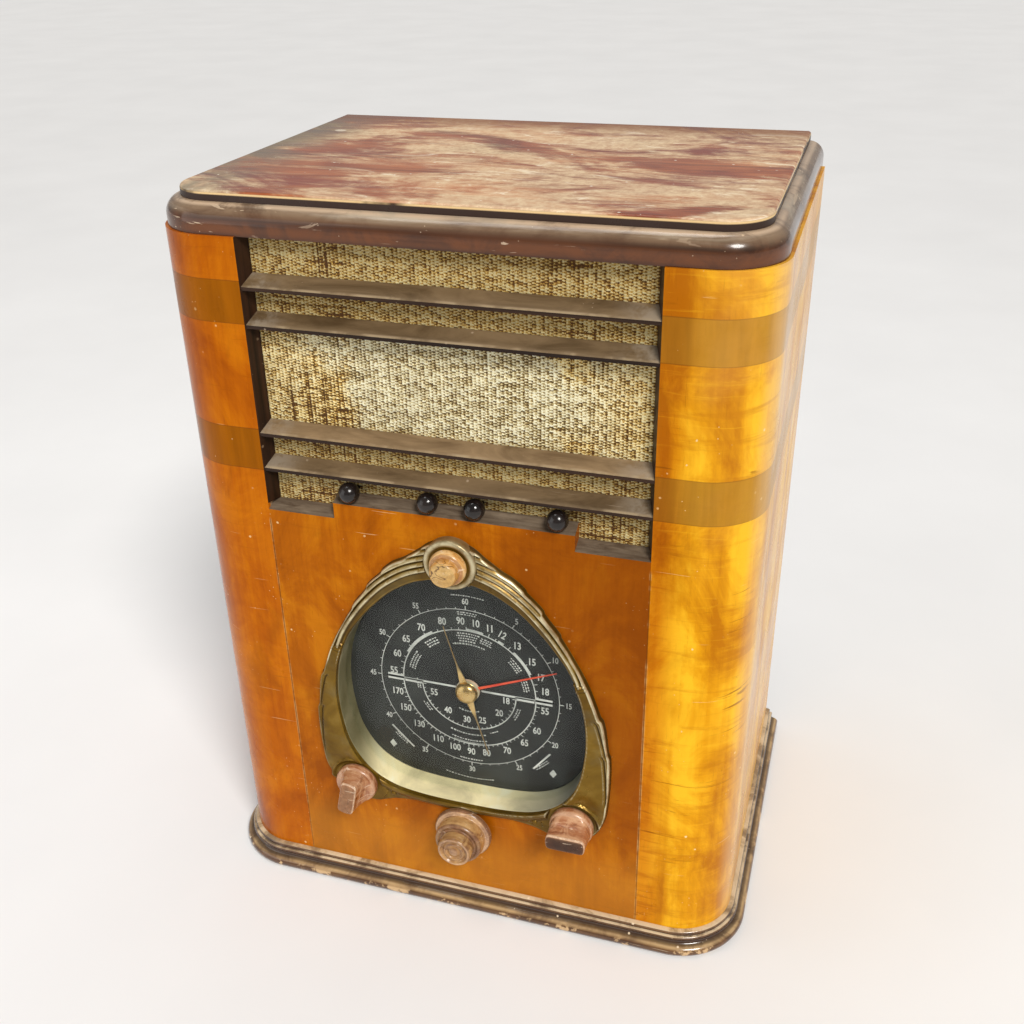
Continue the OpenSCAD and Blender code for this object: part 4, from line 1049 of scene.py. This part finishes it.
def brass_material(name="brass", darker_beyond=0.0):
    """Warm brass, darker beyond a distance from the dial's centre."""
    s = Shader(name)
    tone = s.noise(60, 4, 0.6, 0.4)
    colour = s.ramp(tone, [(0.3, (0.55, 0.34, 0.12)), (0.65, (0.83, 0.60, 0.28)), (0.85, (0.90, 0.76, 0.52))])
    if darker_beyond:
        colour = s.mix(s.between(s.dial_radius(), darker_beyond * 0.7, darker_beyond, 0.0, 0.7), colour,
                       (0.2, 0.14, 0.075))
    return s.done(colour, s.between(tone, 0.3, 0.8, 0.24, 0.42), s.bump(s.noise(300, 2), 0.08, 0.0003),
                  Metallic=0.9)


def red_material():
    """Red enamel on the hand, with its collar left bare."""
    s = Shader("red_paint")
    colour = s.ramp(s.noise(90, 3), [(0.35, (0.66, 0.045, 0.015)), (0.75, (0.90, 0.12, 0.045))])
    bare = s.ramp(s.noise(120, 3), [(0.3, (0.55, 0.46, 0.28)), (0.7, (0.85, 0.80, 0.62))])
    return s.done(s.mix(s.between(s.dial_radius(), 0.0094, 0.0097), bare, colour), 0.35)


# ---------------------------------------------------------------- grille cloth
def make_cloth():
    """Woven cloth stretched behind the louvres, with faint ripples across it."""
    low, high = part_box("grille_cloth")
    middle = (low.y + high.y) / 2
    xs, zs = np.linspace(low.x, high.x, 241), np.linspace(low.z, high.z, 171)
    rows = []
    for z in zs:
        v = (z - low.z) / (high.z - low.z)
        u = (xs - low.x) / (high.x - low.x)
        ripple = 0.00012 * np.sin(u * 61 + 3 * np.sin(v * 9)) + 0.00010 * np.sin(v * 47 + 2 * np.sin(u * 7))
        y = middle + ripple
        rows.append([(x, float(yy), z) for x, yy in zip(xs, y)])
    piece = grid_mesh("grille_cloth_weave", rows)
    finish_piece(piece, "root", "grille_cloth", cloth_material(), "grille_cloth")


def cloth_material():
    """A loose weave of cream and gold yarn over dark. Each crossing has its own tone; some runs lie open. The
    narrow rows under the louvres carry painted shade.
    """
    s = Shader("grille_cloth")
    wander = s.node("ShaderNodeVectorMath", operation="SCALE")
    shake = s.node("ShaderNodeTexNoise")
    shake.inputs["Scale"].default_value = 70
    shake.inputs["Detail"].default_value = 2
    s.plug(wander.inputs[0], s.out(shake, "Color"))
    wander.inputs["Scale"].default_value = 0.0022
    moved = s.node("ShaderNodeVectorMath", operation="ADD")
    s.plug(moved.inputs[0], s.place)
    s.plug(moved.inputs[1], s.out(wander))
    place = s.out(moved)
    x, z = s.axis(0, place), s.axis(2, place)
    pitch_x, pitch_z = 0.0028, 0.0020
    column = s.math("FLOOR", x / pitch_x)
    odd = s.math("PINGPONG", column, 1.0) * 0.5
    across = s.math("SINE", x * (2 * math.pi / pitch_x))
    row_phase = z / pitch_z + odd
    weft = s.math("SINE", row_phase * (2 * math.pi))
    cell = s.node("ShaderNodeCombineXYZ")
    s.plug(cell.inputs[0], column)
    s.plug(cell.inputs[1], s.math("FLOOR", row_phase))
    each = s.node("ShaderNodeTexWhiteNoise")
    s.plug(each.inputs["Vector"], s.out(cell))
    strand = s.grain((290, 1, 9), 2, 0.6, 0, source=place)
    pick = s.grain((9, 1, 380), 2, 0.6, 0, source=place)
    fluff = s.noise(900, 3, 0.7)
    body = weft * 0.55 + across * 0.32
    for number, share in ((fluff, 2.2), (s.out(each), 1.0), (strand, 1.1), (pick, 1.1)):
        body = body + (number - 0.5) * share
    beside = abs(abs(s.axis(0)) - 0.097)
    patch = s.between(beside, 0.018, 0.036, 1.0, 0.0) * s.between(s.noise(22, 4, 0.6), 0.38, 0.6)
    open_run = s.between(s.grain((330, 1, 8), 1, 0.5, 0), 0.56, 0.65)
    open_row = s.between(s.grain((9, 1, 400), 1, 0.5, 0), 0.54, 0.65)
    runs = s.most(open_run, open_row)
    body = body - runs * 0.95 * patch
    cream = s.ramp(s.between(body, -1.2, 1.2), [(0.14, (0.085, 0.044, 0.009)), (0.38, (0.44, 0.32, 0.115)),
                                                (0.58, (0.84, 0.71, 0.37)), (0.80, (1.0, 0.96, 0.72))])
    gold = s.ramp(s.between(body, -1.2, 1.2), [(0.12, (0.095, 0.034, 0.003)), (0.37, (0.56, 0.29, 0.036)),
                                               (0.59, (0.96, 0.63, 0.14)), (0.80, (1.0, 0.85, 0.42))])
    # painted shade: every row but the wide one between bars 3 and 2 is drawn in the gold yarn and darkened
    bars = [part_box(f"louvre_bar_{i}") for i in (3, 2)]
    shaded = 1.0 - s.band(2, bars[0][1].z, bars[1][0].z, 0.006)
    ends = s.between(abs(s.axis(0)), 0.075, 0.135, 0.08, 0.7)
    warm = s.most(patch * 0.8, ends, shaded * 0.9)
    colour = s.mix(warm, cream, gold)
    grime = s.between(s.noise(13, 4, 0.6), 0.5, 0.75, 0.0, 0.3)
    # grime, plus the painted shade of those rows
    grime = s.most(grime, shaded * 0.5)
    colour = s.mix(grime, colour, s.mix(0.75, colour, (0.085, 0.034, 0.010)))
    return s.done(colour, 0.85, s.bump(body, 0.7, 0.0006), Specular_IOR_Level=0.2, Sheen_Weight=0.08)


# ---------------------------------------------------------------- knobs and levers
def knob_material(name, seed, tones, belts=(), cracked=0.0, flat_face=False):
    """Turned walnut with a gloss. Belts: (nearest, farthest, colour, share), in mm ahead of the panel."""
    s = Shader(name)
    rings = s.grain((34, 150, 34), 5, 0.6, 1.2, shift=(seed, seed, 0))
    dark, middle, light = tones
    colour = s.ramp(rings, [(0.28, dark), (0.50, middle), (0.72, light)])
    colour = s.mix(s.between(s.noise(70, 4, 0.65, 0.8), 0.46, 0.62, 0.0, 0.5), colour, light)
    cloud = s.noise(55, 4, 0.7, 1.0, s.stretch((1, 1, 1), (seed, 1, 2)))
    colour = s.mix(s.between(cloud, 0.54, 0.68, 0.0, 0.6), colour, dark)
    speck = s.noise(230, 4, 0.75, 0.5)
    coat = s.between(s.axis(1), FRONT - 27.7 * MM, FRONT - 27.5 * MM, 0.0, 0.35) if flat_face else 0.35
    for low, high, tint, share in belts:
        worn = s.ramp(speck, [(0.32, dimmed(tint, 0.6)), (0.55, tint),
                              (0.76, tuple(min(c * 1.9, 1) for c in tint))])
        near = s.band(1, FRONT - high * MM, FRONT - low * MM, 0.0003)
        colour = s.mix(near * share, colour, worn)
    if cracked:
        worn = s.between(s.axis(1), FRONT - cracked * MM, FRONT - (cracked - 1) * MM, 1.0, 0.0)
        bent = s.noise(85, 2, 0.5, 0.9)
        split = s.between(abs(bent - 0.5), 0.008, 0.026, 0.8, 0.0)
        colour = s.mix(split * worn, colour, (0.07, 0.025, 0.008))
    lines = s.grain((60, 60, 560), 2, 0.5, 0.6, shift=(seed, 0, 3), turn=(0, 0.7 + seed, 0))
    colour = s.mix(s.between(lines, 0.675, 0.70, 0.0, 0.5), colour, (0.80, 0.62, 0.45))
    nicks = s.between(s.cells(260), 0.05, 0.1, 0.7, 0.0) * s.between(s.noise(60, 2), 0.5, 0.62)
    colour = s.mix(nicks, colour, (0.85, 0.66, 0.50))
    rough = s.between(s.noise(80, 4, 0.6), 0.35, 0.7, 0.22, 0.38)
    return s.done(colour, rough, s.bump(rings, 0.12, 0.0004), Specular_IOR_Level=0.3, Coat_Weight=coat,
                  Coat_Roughness=0.2)


ROSY = ((0.14, 0.038, 0.014), (0.36, 0.140, 0.058), (0.62, 0.36, 0.20))
TAN = ((0.12, 0.045, 0.020), (0.40, 0.21, 0.075), (0.58, 0.36, 0.15))
GOLDEN = ((0.30, 0.11, 0.018), (0.58, 0.29, 0.075), (0.76, 0.53, 0.26))


def make_knobs():
    """Turned knobs. Profiles give (radius, distance ahead of the panel) in millimetres, from the back."""
    tuning = ((0, 3.6), (12, 3.6), (22.8, 3.6), (23.6, 4.4), (23.8, 5.8), (23.2, 7.2), (22.0, 8.0),
              (20.9, 8.1), (20.2, 8.5), (19.9, 9.2), (20.1, 10.2), (20.2, 12.5), (19.9, 15.6),
              (19.4, 17.6), (19.0, 18.6), (18.2, 19.5), (17.2, 19.8), (16.4, 19.5), (15.8, 18.9),
              (15.0, 18.7), (14.2, 19.0), (13.9, 20.0), (14.0, 22.0), (14.2, 24.4), (14.0, 26.6),
              (13.4, 28.4), (12.5, 29.3), (11.6, 29.3), (11.0, 28.5), (10.4, 27.7), (9.5, 27.6),
              (8.9, 28.2), (8.1, 28.8), (7.0, 28.7), (6.3, 27.9), (5.5, 27.6), (4.7, 28.0), (3.4, 28.8),
              (1.8, 29.1), (0, 29.2))
    top = ((0, 7.5), (8, 7.5), (13.0, 7.5), (13.8, 8.3), (13.9, 10.0), (13.4, 12.0), (12.4, 13.4),
           (11.3, 14.0), (10.7, 14.5), (10.5, 15.3), (10.7, 16.4), (10.5, 18.8), (10.0, 20.6),
           (9.3, 21.7), (8.7, 22.1), (8.2, 21.9), (7.6, 22.0), (5.0, 22.4), (2.5, 22.6), (0, 22.6))
    # pink belts are painted highlights on the knobs' rounded edges
    plum, pink = (0.135, 0.052, 0.032), (0.60, 0.38, 0.25)
    tuning_belts = ((3.0, 7.4, plum, 0.75), (7.6, 8.6, pink, 0.5), (17.4, 19.3, plum, 0.55),
                    (19.35, 20.5, plum, 0.6), (28.9, 30.0, pink, 0.35))
    turned_knob("tuning_knob_wood", "tuning", KNOB_TUNING, tuning, "tuning_knob",
                knob_material("tuning_wood", 2.0, TAN, tuning_belts))
    top_belts = ((13.2, 15.0, (0.30, 0.12, 0.05), 0.6), (21.2, 23.0, (0.52, 0.34, 0.11), 0.6))
    turned_knob("sensitivity_knob_wood", "sensitivity", KNOB_TOP, top, "sensitivity_knob",
                knob_material("sensitivity_wood", 7.0, GOLDEN, top_belts, 18.0))
    # the pale belt round the front face is a painted highlight on its rounded rim
    belts = ((3.0, 5.0, plum, 0.6), (8.6, 10.6, pink, 0.35), (25.8, 27.5, (0.7, 0.48, 0.32), 0.85),
             (27.62, 29.0, (0.034, 0.013, 0.006), 0.96))
    rubbed = belts[:3] + ((27.62, 29.0, (0.27, 0.135, 0.062), 0.85),)
    bar_knob("volume_knob_wood", "volume", -KNOB_SIDE[0], 12, "volume_knob",
             knob_material("volume_wood", 3.0, ROSY, rubbed, flat_face=True))
    bar_knob("band_knob_wood", "band", KNOB_SIDE[0], 90, "band_knob",
             knob_material("band_wood", 5.0, ROSY, belts, flat_face=True))


def turned_knob(name, body, centre, profile, node, material):
    verts, faces = lathe(rounded(profile) * MM, (centre[0], FRONT, centre[1]), 128)
    return finish_piece(new_object(name, verts, faces), body, "knob_walnut", material, node)


def bar_knob(name, body, x, turn, node, material):
    """A round body cut away in front by two hollowed flats, which leave a grip bar.

    Rows: radius, distance ahead of the panel, half the bar's thickness."""
    rows = [(0.0, 3.6, 99), (8.0, 3.6, 99), (16.6, 3.6, 99), (17.4, 4.4, 99), (17.6, 6.2, 99),
            (17.4, 8.2, 99), (16.9, 9.4, 80), (16.4, 10.0, 30), (16.3, 10.3, 16.2), (16.25, 10.8, 14.0),
            (16.2, 11.8, 12.2), (16.1, 13.6, 10.6), (16.0, 16.0, 9.2), (15.9, 19.0, 8.1),
            (15.8, 22.0, 7.4), (15.7, 24.8, 6.9), (15.6, 26.4, 6.6), (15.3, 27.3, 6.2),
            (14.8, 27.7, 5.7), (14.2, 27.75, 5.3), (13.4, 27.8, 4.8), (10.0, 27.85, 3.6),
            (5.0, 27.9, 2.4), (0.0, 27.9, 1.0)]
    rows = rounded(rows, 3)
    sides = 160
    angles = np.arange(sides) * 2 * math.pi / sides
    lean = math.radians(turn)
    verts = []
    for radius, ahead, half in rows:
        limit = half / np.maximum(np.abs(np.cos(angles)), 1e-3)
        reach = (radius ** -12.0 + limit ** -12.0) ** (-1 / 12) if radius > 0.01 else np.zeros(sides)
        u, v = reach * np.cos(angles), reach * np.sin(angles)
        px = x + (u * math.cos(lean) + v * math.sin(lean)) * MM
        pz = KNOB_SIDE[1] + (-u * math.sin(lean) + v * math.cos(lean)) * MM
        verts += [(a, FRONT - ahead * MM, b) for a, b in zip(px, pz)]
    piece = new_object(name, verts, grid_faces(len(rows), sides, wrap_cols=True))
    tidy_ends(piece)
    return finish_piece(piece, body, "knob_walnut", material, node)


def tidy_ends(piece):
    """Joins the points that a shape's end rows bring together at its middle."""
    shape = bmesh.new()
    shape.from_mesh(piece.data)
    bmesh.ops.remove_doubles(shape, verts=shape.verts, dist=0.00001)
    bmesh.ops.recalc_face_normals(shape, faces=shape.faces)
    shape.to_mesh(piece.data)
    shape.free()
    piece.data.set_sharp_from_angle(angle=0.7)


def make_main_pointer():
    """Gilt pointer: two hair-thin arms that widen near a domed hub."""
    arm_y = PLATE - 4.6 * MM
    lean = math.radians(-16)
    parts = []
    for sign, reach in ((1, 61.0), (-1, 60.0)):
        stations = [(3.0, 0.0), (3.2, 7.0), (2.3, 14.0), (1.3, 20.0), (0.62, 25.0), (0.36, 34.0),
                    (0.3, reach)]
        ring = [(w, d * sign) for w, d in stations] + [(-w, d * sign) for w, d in reversed(stations)]
        outline = [(DIAL[0] + (w * math.cos(lean) + d * math.sin(lean)) * MM,
                    DIAL[1] + (-w * math.sin(lean) + d * math.cos(lean)) * MM) for w, d in ring]
        n = len(outline)
        verts = [(x, arm_y, z) for x, z in outline] + [(x, arm_y - 0.7 * MM, z) for x, z in outline]
        faces = [tuple(range(n)), tuple(range(2 * n - 1, n - 1, -1))]
        faces += [(i, (i + 1) % n, n + (i + 1) % n, n + i) for i in range(n)]
        parts.append((verts, faces))
    dome = rounded(((0, -0.3), (8.4, -0.3), (9.0, 0.2), (9.1, 1.0), (8.7, 2.2), (7.6, 3.7), (5.6, 5.0),
                    (3.0, 5.9), (0, 6.1)), 4)
    parts.append(lathe(dome * MM, (DIAL[0], arm_y - 0.5 * MM, DIAL[1]), 72))
    verts, faces = joined(parts)
    piece = new_object("main_pointer_gilt", verts, faces)
    return finish_piece(piece, "pointer_shaft", "brass", brass_material("pointer_gilt", 0.024),
                        "main_pointer")


def bakelite_material():
    s = Shader("black_bakelite")
    tone = s.noise(90, 4, 0.6)
    colour = s.ramp(tone, [(0.3, (0.004, 0.003, 0.003)), (0.75, (0.018, 0.011, 0.008))])
    return s.done(colour, s.between(tone, 0.3, 0.7, 0.10, 0.22), s.bump(s.noise(200, 2), 0.05, 0.0003))


# ---------------------------------------------------------------- chassis and other inner parts
def metal_material(name, dark, light, metallic=0.8, rough=(0.3, 0.55), rust=0.3):
    s = Shader(name)
    rolled = s.grain((25, 500, 500), 4, 0.65, 0.0)
    tone = s.noise(16, 4, 0.6, 0.3) * 0.5 + rolled * 0.5
    colour = s.ramp(tone, [(0.36, dark), (0.62, light)])
    spots = s.between(s.noise(75, 5, 0.7), 0.60, 0.72, 0.0, rust)
    colour = s.mix(spots, colour, (0.16, 0.075, 0.03))
    colour = s.mix(s.between(s.facing(2), 0.5, 0.9, 0.0, 0.25), colour, (0.22, 0.19, 0.16))
    shine = s.between(s.noise(50, 4, 0.6), 0.3, 0.7, rough[0], rough[1])
    return s.done(colour, shine, s.bump(s.noise(180, 3), 0.15, 0.0005), Metallic=metallic)


def soft_material(name, dark, light, rough=0.7, scale=60, strength=0.3):
    s = Shader(name)
    tone = s.noise(scale, 4, 0.65)
    colour = s.ramp(tone, [(0.3, dark), (0.7, light)])
    return s.done(colour, rough, s.bump(s.noise(scale * 5, 3), strength, 0.0006))


def inner_materials():
    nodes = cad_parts
    plated = metal_material("plated_steel", (0.20, 0.19, 0.17), (0.46, 0.45, 0.42))
    black = metal_material("black_paint", (0.01, 0.01, 0.01), (0.045, 0.043, 0.04), 0.1, (0.35, 0.6),
                           0.25)
    bright = metal_material("aluminium", (0.42, 0.42, 0.41), (0.68, 0.68, 0.66), 0.9, (0.25, 0.45), 0.05)
    bakelite = bakelite_material()
    rubber = soft_material("rubber", (0.012, 0.011, 0.010), (0.04, 0.037, 0.033))
    paper = soft_material("cone_paper", (0.018, 0.015, 0.012), (0.06, 0.05, 0.04), 0.9, 40, 0.5)
    string = soft_material("drive_cord_yarn", (0.30, 0.24, 0.14), (0.55, 0.46, 0.30), 0.9, 400, 0.8)
    brass = brass_material()
    lamp = glass_material("lamp_glass", (0.97, 0.96, 0.92), 0.04, 0.5)
    use = {"dial_plate": plate_material(), "escutcheon_pins": bronze_material("pin_bronze", False),
           "red_pointer": red_material(), "dial_lamps": brass, "drive_cord": string, "tube_bulbs": lamp,
           "speaker_cone": paper, "tube_bases": bakelite, "tube_sockets": bakelite,
           "chassis_cushions": rubber, "cord_grommet": rubber}
    for name in ("power_transformer", "output_transformer", "speaker_magnet"):
        use[name] = black
    for name in ("if_cans", "filter_capacitors", "condenser_rotor", "condenser_frame"):
        use[name] = bright
    for name in sorted(nodes):
        if name.startswith("tone_lever"):
            use[name] = bakelite
    for name, thing in nodes.items():
        if name in use:
            set_material(thing, use[name])
        elif name not in PLACED:
            set_material(thing, plated)


def islands(thing):
    """The low and high corner of each separate solid in a mesh."""
    shape = bmesh.new()
    shape.from_mesh(thing.data)
    bmesh.ops.remove_doubles(shape, verts=shape.verts, dist=0.00001)
    left = set(shape.verts)
    boxes = []
    while left:
        group, front = [], [left.pop()]
        while front:
            v = front.pop()
            group.append(v.co.copy())
            for edge in v.link_edges:
                other = edge.other_vert(v)
                if other in left:
                    left.remove(other)
                    front.append(other)
        low = Vector(min(c[i] for c in group) for i in range(3))
        high = Vector(max(c[i] for c in group) for i in range(3))
        boxes.append((low, high))
    shape.free()
    return sorted(boxes, key=lambda box: (box[0].x, box[0].z))


def make_tube_elements():
    """Inside each glass bulb: a ribbed plate between two mica discs, on a pinched stem."""
    parts = []
    for low, high in islands(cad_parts["tube_bulbs"]):
        wide, tall = (high.x - low.x) / 2, high.z - low.z
        if tall < 0.02:
            continue
        centre = ((low.x + high.x) / 2, (low.y + high.y) / 2)
        r = wide * 0.46
        profile = [(0, 0.1), (0.45, 0.1), (0.42, 0.2), (0.3, 0.22), (0.3, 0.24), (1.25, 0.245),
                   (1.25, 0.26), (0.98, 0.262), (1.0, 0.3), (1.08, 0.32), (1.0, 0.34), (1.0, 0.42),
                   (1.08, 0.44), (1.0, 0.46), (1.0, 0.54), (0.98, 0.575), (1.25, 0.58), (1.25, 0.595),
                   (0.5, 0.6), (0.5, 0.64), (0, 0.64)]
        verts, faces = lathe(np.array([(a * r, b * tall) for a, b in profile]), (0, 0, 0), 32)
        parts.append(([(centre[0] + x, centre[1] + z * 0.82, low.z - y) for x, y, z in verts], faces))
        for sx in (-1, 1):
            rod = lathe(np.array([(0, 0.12 * tall), (0.0005, 0.12 * tall), (0.0005, 0.66 * tall),
                                  (0, 0.66 * tall)]), (0, 0, 0), 10)
            parts.append(([(centre[0] + x + sx * r * 1.12, centre[1] + z, low.z - y)
                           for x, y, z in rod[0]], rod[1]))
    verts, faces = joined(parts)
    piece = new_object("tube_elements", verts, faces)
    finish_piece(piece, "root", "plated_steel", metal_material("tube_plates", (0.035, 0.034, 0.032),
                                                               (0.2, 0.19, 0.17), 0.6, (0.4, 0.6), 0.0))


# nodes that have their own material above, or that a piece of this script replaces
PLACED = ("left_side_shell", "right_side_shell", "front_panel", "top_board", "top_moulding",
          "base_moulding", "louvre_bar_1", "louvre_bar_2", "louvre_bar_3", "louvre_bar_4",
          "grille_jambs", "bottom_board", "cabinet_framing", "speaker_baffle", "chassis_runners",
          "grille_cloth", "dial_escutcheon", "tuning_knob", "volume_knob", "band_knob",
          "sensitivity_knob", "main_pointer", "dial_glass", "glass_frame")


make_camera()
make_studio()
cabinet_materials()
inner_materials()
make_base()
make_cloth()
make_escutcheon()
make_bezel()
dial_print()
make_main_pointer()
make_knobs()
make_tube_elements()
